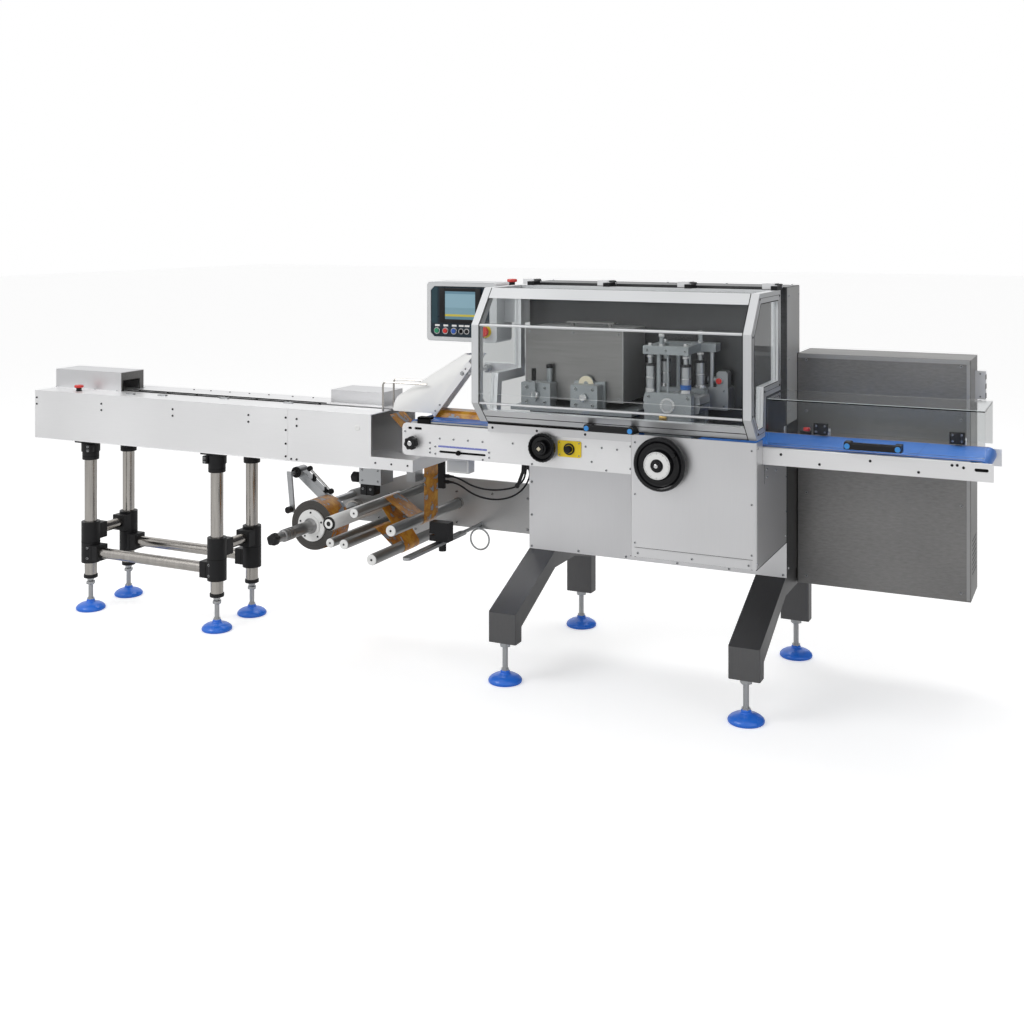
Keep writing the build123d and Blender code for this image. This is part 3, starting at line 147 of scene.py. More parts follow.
setUpWorld()
print("camera, lamps and world set")


def groupSocket(tree, name, way, kind, value=None):
    socket = tree.interface.new_socket(name=name, in_out=way, socket_type=kind)
    if value is not None:
        socket.default_value = value
    return socket


def brushedGrainGroup():
    # long fine scratches; Stretch is small along the brushing direction
    tree = bpy.data.node_groups.new("brushedGrain", "ShaderNodeTree")
    groupSocket(tree, "Stretch", "INPUT", "NodeSocketVector", (1, 60, 60))
    groupSocket(tree, "Density", "INPUT", "NodeSocketFloat", 12.0)
    groupSocket(tree, "Contrast", "INPUT", "NodeSocketFloat", 0.06)
    groupSocket(tree, "Cloud", "INPUT", "NodeSocketFloat", 0.0)
    groupSocket(tree, "Color", "INPUT", "NodeSocketColor", (0.6, 0.6, 0.6, 1))
    groupSocket(tree, "Color", "OUTPUT", "NodeSocketColor")
    groupSocket(tree, "Height", "OUTPUT", "NodeSocketFloat")
    start = addNode(tree, "NodeGroupInput", (-900, 0))
    end = addNode(tree, "NodeGroupOutput", (700, 0))
    coord = addNode(tree, "ShaderNodeTexCoord", (-900, 250))
    scale = addNode(tree, "ShaderNodeVectorMath", (-650, 200), operation="MULTIPLY")
    wire(tree, coord.outputs["Object"], scale.inputs[0])
    wire(tree, start.outputs["Stretch"], scale.inputs[1])
    noise = addNode(tree, "ShaderNodeTexNoise", (-400, 200))
    noise.inputs["Detail"].default_value = 5
    noise.inputs["Roughness"].default_value = 0.65
    wire(tree, scale.outputs[0], noise.inputs["Vector"])
    wire(tree, start.outputs["Density"], noise.inputs["Scale"])
    wire(tree, noise.outputs["Fac"], end.inputs["Height"])
    centred = addNode(tree, "ShaderNodeMath", (-150, 100), operation="SUBTRACT")
    centred.inputs[1].default_value = 0.5
    wire(tree, noise.outputs["Fac"], centred.inputs[0])
    tone = addNode(tree, "ShaderNodeMath", (50, 100), operation="MULTIPLY_ADD")
    tone.inputs[2].default_value = 1.0
    wire(tree, centred.outputs[0], tone.inputs[0])
    wire(tree, start.outputs["Contrast"], tone.inputs[1])
    broad = addNode(tree, "ShaderNodeTexNoise", (-400, -200))  # slow change of tone over a whole sheet
    broad.inputs["Scale"].default_value = 2.2
    broad.inputs["Detail"].default_value = 1
    wire(tree, coord.outputs["Object"], broad.inputs["Vector"])
    broadCentred = addNode(tree, "ShaderNodeMath", (-150, -200), operation="SUBTRACT")
    broadCentred.inputs[1].default_value = 0.5
    wire(tree, broad.outputs["Fac"], broadCentred.inputs[0])
    both = addNode(tree, "ShaderNodeMath", (150, -150), operation="MULTIPLY_ADD")
    wire(tree, broadCentred.outputs[0], both.inputs[0])
    wire(tree, start.outputs["Cloud"], both.inputs[1])
    wire(tree, tone.outputs[0], both.inputs[2])
    tint = addNode(tree, "ShaderNodeVectorMath", (300, 0), operation="SCALE")
    wire(tree, start.outputs["Color"], tint.inputs[0])
    wire(tree, both.outputs[0], tint.inputs["Scale"])
    wire(tree, tint.outputs[0], end.inputs["Color"])
    return tree


def handlingGroup():
    # broad smears that change how sharply a surface shines
    tree = bpy.data.node_groups.new("handlingMarks", "ShaderNodeTree")
    groupSocket(tree, "Size", "INPUT", "NodeSocketFloat", 4.0)
    groupSocket(tree, "Smooth", "INPUT", "NodeSocketFloat", 0.25)
    groupSocket(tree, "Rough", "INPUT", "NodeSocketFloat", 0.4)
    groupSocket(tree, "Roughness", "OUTPUT", "NodeSocketFloat")
    start = addNode(tree, "NodeGroupInput", (-700, 0))
    end = addNode(tree, "NodeGroupOutput", (300, 0))
    coord = addNode(tree, "ShaderNodeTexCoord", (-700, 250))
    noise = addNode(tree, "ShaderNodeTexNoise", (-400, 200))
    noise.inputs["Detail"].default_value = 3
    wire(tree, coord.outputs["Object"], noise.inputs["Vector"])
    wire(tree, start.outputs["Size"], noise.inputs["Scale"])
    spread = addNode(tree, "ShaderNodeMapRange", (-100, 100))
    spread.inputs["From Min"].default_value = 0.3
    spread.inputs["From Max"].default_value = 0.7
    wire(tree, noise.outputs["Fac"], spread.inputs["Value"])
    wire(tree, start.outputs["Smooth"], spread.inputs["To Min"])
    wire(tree, start.outputs["Rough"], spread.inputs["To Max"])
    wire(tree, spread.outputs[0], end.inputs["Roughness"])
    return tree


def dustGroup():
    # pale dust on faces that look up
    tree = bpy.data.node_groups.new("settledDust", "ShaderNodeTree")
    groupSocket(tree, "Color", "INPUT", "NodeSocketColor", (0.5, 0.5, 0.5, 1))
    groupSocket(tree, "Amount", "INPUT", "NodeSocketFloat", 0.1)
    groupSocket(tree, "Color", "OUTPUT", "NodeSocketColor")
    start = addNode(tree, "NodeGroupInput", (-800, 0))
    end = addNode(tree, "NodeGroupOutput", (500, 0))
    coord = addNode(tree, "ShaderNodeTexCoord", (-800, 300))
    split = addNode(tree, "ShaderNodeSeparateXYZ", (-600, 400))
    wire(tree, coord.outputs["Normal"], split.inputs[0])
    noise = addNode(tree, "ShaderNodeTexNoise", (-600, 200))
    noise.inputs["Scale"].default_value = 18
    wire(tree, coord.outputs["Object"], noise.inputs["Vector"])
    up = addNode(tree, "ShaderNodeMath", (-350, 350), operation="MULTIPLY", use_clamp=True)
    wire(tree, split.outputs["Z"], up.inputs[0])
    wire(tree, noise.outputs["Fac"], up.inputs[1])
    amount = addNode(tree, "ShaderNodeMath", (-100, 250), operation="MULTIPLY", use_clamp=True)
    wire(tree, up.outputs[0], amount.inputs[0])
    wire(tree, start.outputs["Amount"], amount.inputs[1])
    mix = addNode(tree, "ShaderNodeMix", (200, 0), data_type="RGBA")
    mix.inputs[7].default_value = (0.62, 0.60, 0.57, 1)
    wire(tree, amount.outputs[0], mix.inputs[0])
    wire(tree, start.outputs["Color"], mix.inputs[6])
    wire(tree, mix.outputs[2], end.inputs["Color"])
    return tree


brushedGrain = brushedGrainGroup()
handlingMarks = handlingGroup()
settledDust = dustGroup()


def groupNode(tree, group, place, **values):
    node = addNode(tree, "ShaderNodeGroup", place, node_tree=group)
    for key, value in values.items():
        node.inputs[key].default_value = value
    return node


def newFinish(name):
    mat = bpy.data.materials.new(name)
    mat.use_nodes = True
    tree = mat.node_tree
    return mat, tree, tree.nodes["Principled BSDF"]


def metalFinish(name, color, stretch=(1, 60, 60), density=12.0, contrast=0.08, rough=(0.26, 0.36), bump=0.05,
                metallic=1.0, dust=0.0, cloud=0.25):
    mat, tree, shader = newFinish(name)
    grain = groupNode(tree, brushedGrain, (-700, 200), Stretch=stretch, Density=density, Contrast=contrast,
                      Cloud=cloud, Color=(*color, 1))
    marks = groupNode(tree, handlingMarks, (-700, -150), Size=3.0, Smooth=rough[0], Rough=rough[1])
    tone = grain.outputs["Color"]
    if dust:
        top = groupNode(tree, settledDust, (-450, 300), Amount=dust)
        wire(tree, tone, top.inputs["Color"])
        tone = top.outputs["Color"]
    wire(tree, tone, shader.inputs["Base Color"])
    wire(tree, marks.outputs["Roughness"], shader.inputs["Roughness"])
    relief = addNode(tree, "ShaderNodeBump", (-350, -300))
    relief.inputs["Strength"].default_value = bump
    relief.inputs["Distance"].default_value = 0.0006
    wire(tree, grain.outputs["Height"], relief.inputs["Height"])
    wire(tree, relief.outputs[0], shader.inputs["Normal"])
    shader.inputs["Metallic"].default_value = metallic
    return mat


def plasticFinish(name, color, rough=(0.35, 0.5), grainSize=900.0, bump=0.12, coat=0.0, dust=0.0, shine=0.5):
    mat, tree, shader = newFinish(name)
    grain = groupNode(tree, brushedGrain, (-700, 200), Stretch=(1, 1, 1), Density=grainSize, Contrast=0.12,
                      Color=(*color, 1))
    marks = groupNode(tree, handlingMarks, (-700, -150), Size=9.0, Smooth=rough[0], Rough=rough[1])
    tone = grain.outputs["Color"]
    if dust:
        top = groupNode(tree, settledDust, (-450, 300), Amount=dust)
        wire(tree, tone, top.inputs["Color"])
        tone = top.outputs["Color"]
    wire(tree, tone, shader.inputs["Base Color"])
    wire(tree, marks.outputs["Roughness"], shader.inputs["Roughness"])
    relief = addNode(tree, "ShaderNodeBump", (-350, -300))
    relief.inputs["Strength"].default_value = bump
    relief.inputs["Distance"].default_value = 0.0003
    wire(tree, grain.outputs["Height"], relief.inputs["Height"])
    wire(tree, relief.outputs[0], shader.inputs["Normal"])
    shader.inputs["Coat Weight"].default_value = coat
    shader.inputs["Specular IOR Level"].default_value = shine
    return mat


def clearSheetFinish(name, tint):
    # clear acrylic that lets the lamps through
    mat, tree, shader = newFinish(name)
    out = tree.nodes["Material Output"]
    marks = groupNode(tree, handlingMarks, (-500, -150), Size=6.0, Smooth=0.01, Rough=0.05)
    wire(tree, marks.outputs["Roughness"], shader.inputs["Roughness"])
    shader.inputs["Base Color"].default_value = (*tint, 1)
    shader.inputs["Transmission Weight"].default_value = 1.0
    shader.inputs["IOR"].default_value = 1.2
    rays = addNode(tree, "ShaderNodeLightPath", (0, 400))
    open_ = addNode(tree, "ShaderNodeBsdfTransparent", (0, 100))
    mix = addNode(tree, "ShaderNodeMixShader", (450, 100))
    wire(tree, rays.outputs["Is Shadow Ray"], mix.inputs[0])
    wire(tree, shader.outputs[0], mix.inputs[1])
    wire(tree, open_.outputs[0], mix.inputs[2])
    wire(tree, mix.outputs[0], out.inputs["Surface"])
    return mat


def filmFinish(name, ends):
    # gold printed film with plain grey patches; the ends of the wound roll show its dark layers
    mat, tree, shader = newFinish(name)
    coord = addNode(tree, "ShaderNodeTexCoord", (-1300, 0))
    scale = addNode(tree, "ShaderNodeVectorMath", (-1100, 0), operation="MULTIPLY")
    scale.inputs[1].default_value = (12, 15, 17)
    wire(tree, coord.outputs["Object"], scale.inputs[0])
    blotch = addNode(tree, "ShaderNodeTexNoise", (-900, 100))
    blotch.inputs["Scale"].default_value = 1.6
    blotch.inputs["Detail"].default_value = 4
    blotch.inputs["Roughness"].default_value = 0.6
    wire(tree, scale.outputs[0], blotch.inputs["Vector"])
    ramp = addNode(tree, "ShaderNodeValToRGB", (-650, 100))
    ramp.color_ramp.interpolation = "EASE"
    stops = ramp.color_ramp.elements
    stops[0].position, stops[0].color = 0.40, (0.27, 0.31, 0.36, 1)
    stops[1].position, stops[1].color = 0.44, (0.37, 0.145, 0.014, 1)
    third = ramp.color_ramp.elements.new(0.52)
    third.color = (0.50, 0.20, 0.014, 1)
    fourth = ramp.color_ramp.elements.new(0.64)
    fourth.color = (0.62, 0.31, 0.035, 1)
    wire(tree, blotch.outputs["Fac"], ramp.inputs[0])
    tone = ramp.outputs[0]
    if ends:
        split = addNode(tree, "ShaderNodeSeparateXYZ", (-1100, 400))
        wire(tree, coord.outputs["Normal"], split.inputs[0])
        size = addNode(tree, "ShaderNodeMath", (-900, 400), operation="ABSOLUTE")
        wire(tree, split.outputs["Y"], size.inputs[0])
        side = addNode(tree, "ShaderNodeMath", (-700, 400), operation="GREATER_THAN")
        side.inputs[1].default_value = 0.8
        wire(tree, size.outputs[0], side.inputs[0])
        centre = addNode(tree, "ShaderNodeVectorMath", (-1100, -300), operation="SUBTRACT")
        centre.inputs[1].default_value = (-0.575, 0, 0.445)
        wire(tree, coord.outputs["Object"], centre.inputs[0])
        flat = addNode(tree, "ShaderNodeVectorMath", (-900, -300), operation="MULTIPLY")
        flat.inputs[1].default_value = (1, 0, 1)
        wire(tree, centre.outputs[0], flat.inputs[0])
        reach = addNode(tree, "ShaderNodeVectorMath", (-700, -300), operation="LENGTH")
        wire(tree, flat.outputs[0], reach.inputs[0])
        rings = addNode(tree, "ShaderNodeTexNoise", (-500, -300), noise_dimensions="1D")
        rings.inputs["Scale"].default_value = 420
        wire(tree, reach.outputs["Value"], rings.inputs["W"])
        layers = addNode(tree, "ShaderNodeValToRGB", (-300, -300))
        layers.color_ramp.elements[0].color = (0.022, 0.020, 0.019, 1)
        layers.color_ramp.elements[1].color = (0.095, 0.088, 0.082, 1)
        wire(tree, rings.outputs["Fac"], layers.inputs[0])
        pick = addNode(tree, "ShaderNodeMix", (-200, 150), data_type="RGBA")
        wire(tree, side.outputs[0], pick.inputs[0])
        wire(tree, tone, pick.inputs[6])
        wire(tree, layers.outputs[0], pick.inputs[7])
        tone = pick.outputs[2]
    wire(tree, tone, shader.inputs["Base Color"])
    shader.inputs["Roughness"].default_value = 0.28
    shader.inputs["Specular IOR Level"].default_value = 0.3
    shader.inputs["Coat Weight"].default_value = 0.05
    wrinkle = addNode(tree, "ShaderNodeTexNoise", (-650, -600))
    wrinkle.inputs["Scale"].default_value = 22
    wire(tree, coord.outputs["Object"], wrinkle.inputs["Vector"])
    relief = addNode(tree, "ShaderNodeBump", (-350, -600))
    relief.inputs["Strength"].default_value = 0.25
    relief.inputs["Distance"].default_value = 0.002
    wire(tree, wrinkle.outputs["Fac"], relief.inputs["Height"])
    wire(tree, relief.outputs[0], shader.inputs["Normal"])
    return mat


def screenFinish(name):
    # lit display: pale cyan with a lighter middle and a plain yellow bar along its foot
    mat, tree, shader = newFinish(name)
    coord = addNode(tree, "ShaderNodeTexCoord", (-900, 0))
    split = addNode(tree, "ShaderNodeSeparateXYZ", (-700, 0))
    wire(tree, coord.outputs["Object"], split.inputs[0])
    rows = addNode(tree, "ShaderNodeValToRGB", (-450, 0))
    rows.color_ramp.interpolation = "CONSTANT"
    height = addNode(tree, "ShaderNodeMapRange", (-600, -250))
    height.inputs["From Min"].default_value = 1.250
    height.inputs["From Max"].default_value = 1.357
    wire(tree, split.outputs["Z"], height.inputs["Value"])
    wire(tree, height.outputs[0], rows.inputs[0])
    stops = rows.color_ramp.elements
    stops[0].position, stops[0].color = 0.0, (0.075, 0.15, 0.19, 1)
    stops[1].position, stops[1].color = 0.09, (0.34, 0.29, 0.045, 1)
    for place, color in ((0.17, (0.13, 0.22, 0.26, 1)), (0.40, (0.16, 0.26, 0.31, 1)),
                         (0.88, (0.09, 0.17, 0.22, 1))):
        stop = rows.color_ramp.elements.new(place)
        stop.color = color
    wire(tree, rows.outputs[0], shader.inputs["Base Color"])
    wire(tree, rows.outputs[0], shader.inputs["Emission Color"])
    shader.inputs["Emission Strength"].default_value = 0.55
    shader.inputs["Roughness"].default_value = 0.15
    return mat


finish = {
    "infeedSheet": metalFinish("infeedSheet", (0.84, 0.84, 0.845), stretch=(1, 60, 60), contrast=0.07,
                               rough=(0.32, 0.44), metallic=0.7, dust=0.06),
    "coverSheet": metalFinish("coverSheet", (0.67, 0.67, 0.68), stretch=(60, 60, 1), contrast=0.07,
                              rough=(0.32, 0.44), metallic=0.9),
    "darkSheet": metalFinish("darkSheet", (0.215, 0.212, 0.208), stretch=(6, 20, 26), density=7.0, contrast=0.6,
                             rough=(0.30, 0.46), metallic=0.95, bump=0.10, cloud=0.7),
    # very dark brushed sheet for the spine housing: its colour paints the shade that falls on the housing inside the
    # hood
    "paintedShadeSheet": metalFinish("paintedShadeSheet", (0.085, 0.086, 0.088), stretch=(1, 20, 26), density=7.0, contrast=0.5, cloud=0.8,
                               rough=(0.30, 0.42), metallic=0.95, bump=0.06),
    "legSteel": metalFinish("legSteel", (0.125, 0.125, 0.127), stretch=(60, 2, 2), density=12.0, contrast=0.25,
                            rough=(0.32, 0.46), metallic=0.95),
    "aluminiumBar": metalFinish("aluminiumBar", (0.66, 0.67, 0.68), stretch=(1, 50, 50), contrast=0.06,
                                rough=(0.34, 0.42), metallic=0.7),
    "polishedTube": metalFinish("polishedTube", (0.42, 0.40, 0.375), stretch=(20, 20, 1), density=5, contrast=0.7,
                                rough=(0.16, 0.26), bump=0.01),
    "machinedSteel": metalFinish("machinedSteel", (0.42, 0.43, 0.44), stretch=(8, 8, 30), density=20, contrast=0.14,
                                 rough=(0.28, 0.42)),
    "sealSheet": metalFinish("sealSheet", (0.25, 0.245, 0.24), stretch=(1, 20, 26), density=7, contrast=0.45, cloud=0.8,
                             rough=(0.34, 0.44)),
    "greyCasting": metalFinish("greyCasting", (0.30, 0.32, 0.33), stretch=(10, 10, 10), density=30, contrast=0.12,
                               rough=(0.38, 0.5), metallic=0.75),
    "blackPlastic": plasticFinish("blackPlastic", (0.012, 0.012, 0.013), rough=(0.34, 0.48), shine=0.22),
    "blackGloss": plasticFinish("blackGloss", (0.006, 0.006, 0.007), rough=(0.10, 0.2), bump=0.02, shine=0.3),
    "whitePlastic": plasticFinish("whitePlastic", (0.80, 0.80, 0.79), rough=(0.3, 0.42), bump=0.03),
    "panelWhite": plasticFinish("panelWhite", (0.61, 0.62, 0.63), rough=(0.35, 0.45), grainSize=1500, bump=0.06),
    "ploughSheet": plasticFinish("ploughSheet", (0.84, 0.84, 0.83), rough=(0.35, 0.5), bump=0.03),
    "footBlue": plasticFinish("footBlue", (0.012, 0.16, 0.74), rough=(0.24, 0.36), bump=0.03, coat=0.15, dust=0.03),
    "beltBlue": plasticFinish("beltBlue", (0.030, 0.155, 0.52), rough=(0.38, 0.5), grainSize=500, bump=0.1),
    "beltEdge": plasticFinish("beltEdge", (0.42, 0.28, 0.14), rough=(0.5, 0.6)),
    "capBlue": plasticFinish("capBlue", (0.04, 0.26, 0.66), rough=(0.3, 0.4)),
    "signalRed": plasticFinish("signalRed", (0.62, 0.025, 0.018), rough=(0.2, 0.32), bump=0.02, coat=0.3),
    "signalGreen": plasticFinish("signalGreen", (0.015, 0.26, 0.12), rough=(0.2, 0.32), bump=0.02, coat=0.3),
    "signalYellow": plasticFinish("signalYellow", (0.85, 0.62, 0.012), rough=(0.3, 0.42), bump=0.02),
    "faciaDark": plasticFinish("faciaDark", (0.016, 0.028, 0.040), rough=(0.25, 0.38), bump=0.03, shine=0.3),
    "slotBlack": plasticFinish("slotBlack", (0.006, 0.006, 0.006), rough=(0.6, 0.75), shine=0.12),
    "chainDark": metalFinish("chainDark", (0.06, 0.06, 0.062), stretch=(30, 30, 30), density=20, contrast=0.3,
                             rough=(0.4, 0.6)),
    "rollerGrey": metalFinish("rollerGrey", (0.30, 0.30, 0.295), stretch=(40, 1, 40), density=12, contrast=0.20,
                              rough=(0.30, 0.42), metallic=0.85),
    "sleeveSteel": metalFinish("sleeveSteel", (0.30, 0.30, 0.30), stretch=(30, 2, 30), density=14, contrast=0.25,
                               rough=(0.26, 0.38)),
    "plateGrey": metalFinish("plateGrey", (0.40, 0.40, 0.40), stretch=(2, 40, 40), density=12, contrast=0.16,
                             rough=(0.32, 0.44), metallic=0.85),
    "grooveGrey": metalFinish("grooveGrey", (0.10, 0.10, 0.10), stretch=(10, 10, 10), contrast=0.2,
                              rough=(0.4, 0.5), metallic=0.6),
    # lighter, less metallic copy of the spine's brushed sheet: its colour paints the light falling on the spine's right
    # side
    "paintedLightSpineSide": metalFinish("paintedLightSpineSide", (0.42, 0.42, 0.415), stretch=(1, 60, 3), contrast=0.3, rough=(0.36, 0.46),
                             metallic=0.25),
    "brightSteel": metalFinish("brightSteel", (0.62, 0.62, 0.62), stretch=(14, 14, 14), density=16, contrast=0.08,
                               rough=(0.16, 0.28), bump=0.02),
    "brass": metalFinish("brass", (0.62, 0.42, 0.16), stretch=(14, 14, 14), density=16, contrast=0.12,
                         rough=(0.24, 0.36)),
    # lighter copy of the cabinet sheet: its colour paints the highlight on the cabinet's folded edges
    "cabinetEdgeHighlight": metalFinish("cabinetEdgeHighlight", (0.36, 0.36, 0.36), stretch=(1, 40, 40), density=12, contrast=0.12,
                               rough=(0.32, 0.44), metallic=0.85),
    "cableBlack": plasticFinish("cableBlack", (0.010, 0.010, 0.011), rough=(0.42, 0.55), grainSize=1400, shine=0.25),
    "faciaTeal": plasticFinish("faciaTeal", (0.022, 0.052, 0.066), rough=(0.28, 0.4), bump=0.03, shine=0.3),
    "collarBlue": plasticFinish("collarBlue", (0.018, 0.09, 0.30), rough=(0.26, 0.38), bump=0.03),
    "buttonBlue": plasticFinish("buttonBlue", (0.02, 0.09, 0.42), rough=(0.2, 0.32), bump=0.02, coat=0.3),
    "scaleBlue": plasticFinish("scaleBlue", (0.14, 0.17, 0.52), rough=(0.3, 0.42), bump=0.03),
    "creamPlate": plasticFinish("creamPlate", (0.62, 0.56, 0.42), rough=(0.34, 0.46), bump=0.04),
    "beltSeam": plasticFinish("beltSeam", (0.016, 0.095, 0.36), rough=(0.4, 0.5)),
    # pale colour paints the highlight along the polished edge of a clear pane
    "paneEdgeHighlight": plasticFinish("paneEdgeHighlight", (0.66, 0.72, 0.72), rough=(0.2, 0.3), bump=0.01, coat=0.3),
    "clearPane": clearSheetFinish("clearPane", (0.97, 0.985, 0.985)),
    "filmGold": filmFinish("filmGold", False),
    "filmRoll": filmFinish("filmRoll", True),
    "displayLit": screenFinish("displayLit"),
}

nodeFinish = {
    # the spine housing takes the sheet whose dark colour paints its shade
    "foot_pads": "footBlue", "foot_stems": "machinedSteel", "leg_frames": "legSteel", "spine_housing": "paintedShadeSheet",
    "front_trim_panels": "coverSheet", "cover_box": "coverSheet", "drive_housing": "greyCasting",
    "conveyor_side_plates": "infeedSheet", "conveyor_cross_members": "machinedSteel", "wrap_belt": "beltBlue",
    "outfeed_belt": "beltBlue", "belt_beds_and_rollers": "machinedSteel", "main_handwheel": "blackGloss",
    "small_handwheel": "blackPlastic", "wheel_spindles": "machinedSteel", "infeed_side_panels": "infeedSheet",
    "infeed_bottom_sheet": "infeedSheet", "infeed_top_strips": "infeedSheet", "infeed_covers": "coverSheet",
    "infeed_chain_drive": "chainDark", "infeed_support_tubes": "polishedTube", "infeed_tube_clamps": "blackPlastic",
    "unwind_plate": "plateGrey", "unwind_arms": "machinedSteel",
    "sensor_blocks": "blackPlastic", "reel_hub": "brightSteel", "unwind_shafts": "polishedTube",
    "film_roll": "filmRoll", "film_web": "filmGold", "film_roller_upper_left": "whitePlastic",
    "hood_frame": "aluminiumBar", "hood_panes": "clearPane", "hood_fittings": "blackPlastic",
    "hinge_blocks": "infeedSheet", "seal_cover": "sealSheet", "seal_deck": "greyCasting",
    "seal_adjusters": "greyCasting", "crimp_end_plates": "greyCasting", "upper_crimp_rotor": "machinedSteel",
    "lower_crimp_rotor": "machinedSteel", "crimp_columns": "machinedSteel", "crimp_yoke": "greyCasting",
    "hmi_box": "panelWhite", "buttons_and_knobs": "blackPlastic", "guard_panes": "clearPane",
    "guard_fittings": "blackPlastic", "electrical_cabinet": "darkSheet", "cable_duct": "coverSheet",
    "end_tray": "infeedSheet", "tray_support": "machinedSteel", "forming_plough": "ploughSheet",
    "plough_bar": "infeedSheet", "film_guide_wires": "polishedTube",
}
for nodeName, node in nodes.items():
    node.data.materials.clear()
    node.data.materials.append(finish[nodeFinish.get(nodeName, "rollerGrey")])
print("finishes on all nodes")


def mm(x, y, z):
    return Vector((x, y, z)) / 1000


def addBlock(bm, lo, hi, slot=0, soften=0.0, segments=2):
    # box between two corners in mm, its edges rounded by soften
    made = bmesh.ops.create_cube(bm, size=1)["verts"]
    size = mm(*[b - a for a, b in zip(lo, hi)])
    middle = mm(*[(a + b) / 2 for a, b in zip(lo, hi)])
    for v in made:
        v.co = Vector([c * s for c, s in zip(v.co, size)]) + middle
    faces = {f for v in made for f in v.link_faces}
    for f in faces:
        f.material_index = slot
    if soften:
        edges = {e for f in faces for e in f.edges}
        cut = bmesh.ops.bevel(bm, geom=list(edges), offset=soften / 1000, segments=segments, affect="EDGES",
                              profile=0.5)
        for f in cut["faces"]:
            f.material_index = slot


def addTurned(bm, start, way, profile, slot=0, sides=40, wave=(0, 1), closed=False):
    # profile of (radius, height) in mm turned about the line from start along way; wave makes lobes or knurling
    turn = Vector(way).normalized().to_track_quat("Z", "X").to_matrix()
    origin = mm(*start)
    rings = []
    for radius, height in profile:
        if radius < 1e-6:
            rings.append([bm.verts.new(origin + turn @ mm(0, 0, height))])
            continue
        ring = []
        for i in range(sides):
            a = 2 * math.pi * i / sides
            r = radius * (1 + wave[0] * math.cos(wave[1] * a)) if radius > 12 else radius
            ring.append(bm.verts.new(origin + turn @ mm(r * math.cos(a), r * math.sin(a), height)))
        rings.append(ring)
    for low, high in zip(rings, rings[1:]):
        for i in range(sides):
            j = (i + 1) % sides
            corners = [low[i % len(low)], low[j % len(low)], high[j % len(high)], high[i % len(high)]]
            unique = list(dict.fromkeys(corners))
            if len(unique) > 2:
                face = bm.faces.new(unique)
                face.material_index = slot
    for ring, outward in ((rings[0], False), (rings[-1], True)):
        if len(ring) > 1 and not closed:
            face = bm.faces.new(ring if outward else ring[::-1])
            face.material_index = slot


def addBar(bm, a, b, radius, slot=0, sides=20):
    length = (Vector(b) - Vector(a)).length
    edge = min(radius * 0.2, length * 0.2)
    addTurned(bm, a, Vector(b) - Vector(a), [(0, 0), (radius - edge, 0), (radius, edge), (radius, length - edge),
                                             (radius - edge, length), (0, length)], slot, sides)


def addRing(bm, start, way, outer, inner, depth, slot=0, sides=40):
    edge = min(depth, outer - inner) * 0.15
    addTurned(bm, start, way, [(inner, 0), (outer - edge, 0), (outer, edge), (outer, depth - edge), (outer - edge, depth),
                               (inner, depth), (inner, 0)], slot, sides, closed=True)


def addProfile(bm, points, y0, y1, slot=0):
    # outline of (x, z) in mm carried from one depth along Y to another
    low = [bm.verts.new(mm(x, y0, z)) for x, z in points]
    high = [bm.verts.new(mm(x, y1, z)) for x, z in points]
    faces = [bm.faces.new(low), bm.faces.new(high[::-1])]
    for i in range(len(points)):
        j = (i + 1) % len(points)
        faces.append(bm.faces.new([low[i], low[j], high[j], high[i]]))
    for f in faces:
        f.material_index = slot


def roundedCorners(x0, x1, z0, z1, r):
    points = []
    for cx, cz, first in ((x1 - r, z1 - r, 0), (x0 + r, z1 - r, 90), (x0 + r, z0 + r, 180), (x1 - r, z0 + r, 270)):
        for step in range(5):
            a = math.radians(first + 22.5 * step)
            points.append((cx + r * math.cos(a), cz + r * math.sin(a)))
    return points


def finishPiece(bm, name, materials, body="machine_frame", smooth=35):
    bmesh.ops.remove_doubles(bm, verts=bm.verts, dist=1e-7)
    bmesh.ops.recalc_face_normals(bm, faces=bm.faces)
    mesh = bpy.data.meshes.new(name)
    bm.to_mesh(mesh)
    bm.free()
    for key in materials:
        mesh.materials.append(finish[key])
    mesh.shade_smooth()
    mesh.set_sharp_from_angle(angle=math.radians(smooth))
    piece = bpy.data.objects.new(name, mesh)
    bpy.context.scene.collection.objects.link(piece)
    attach(piece, body)
    return piece


def settle(piece):
    # turn the live node tree of a piece into its own plain mesh
    bpy.context.view_layer.update()
    graph = bpy.context.evaluated_depsgraph_get()
    mesh = bpy.data.meshes.new_from_object(piece.evaluated_get(graph))
    piece.modifiers.clear()
    piece.data = mesh
    mesh.name = piece.name


def setInput(modifier, tree, name, value):
    for item in tree.interface.items_tree:
        if item.item_type == "SOCKET" and item.in_out == "INPUT" and item.name == name:
            modifier[item.identifier] = value


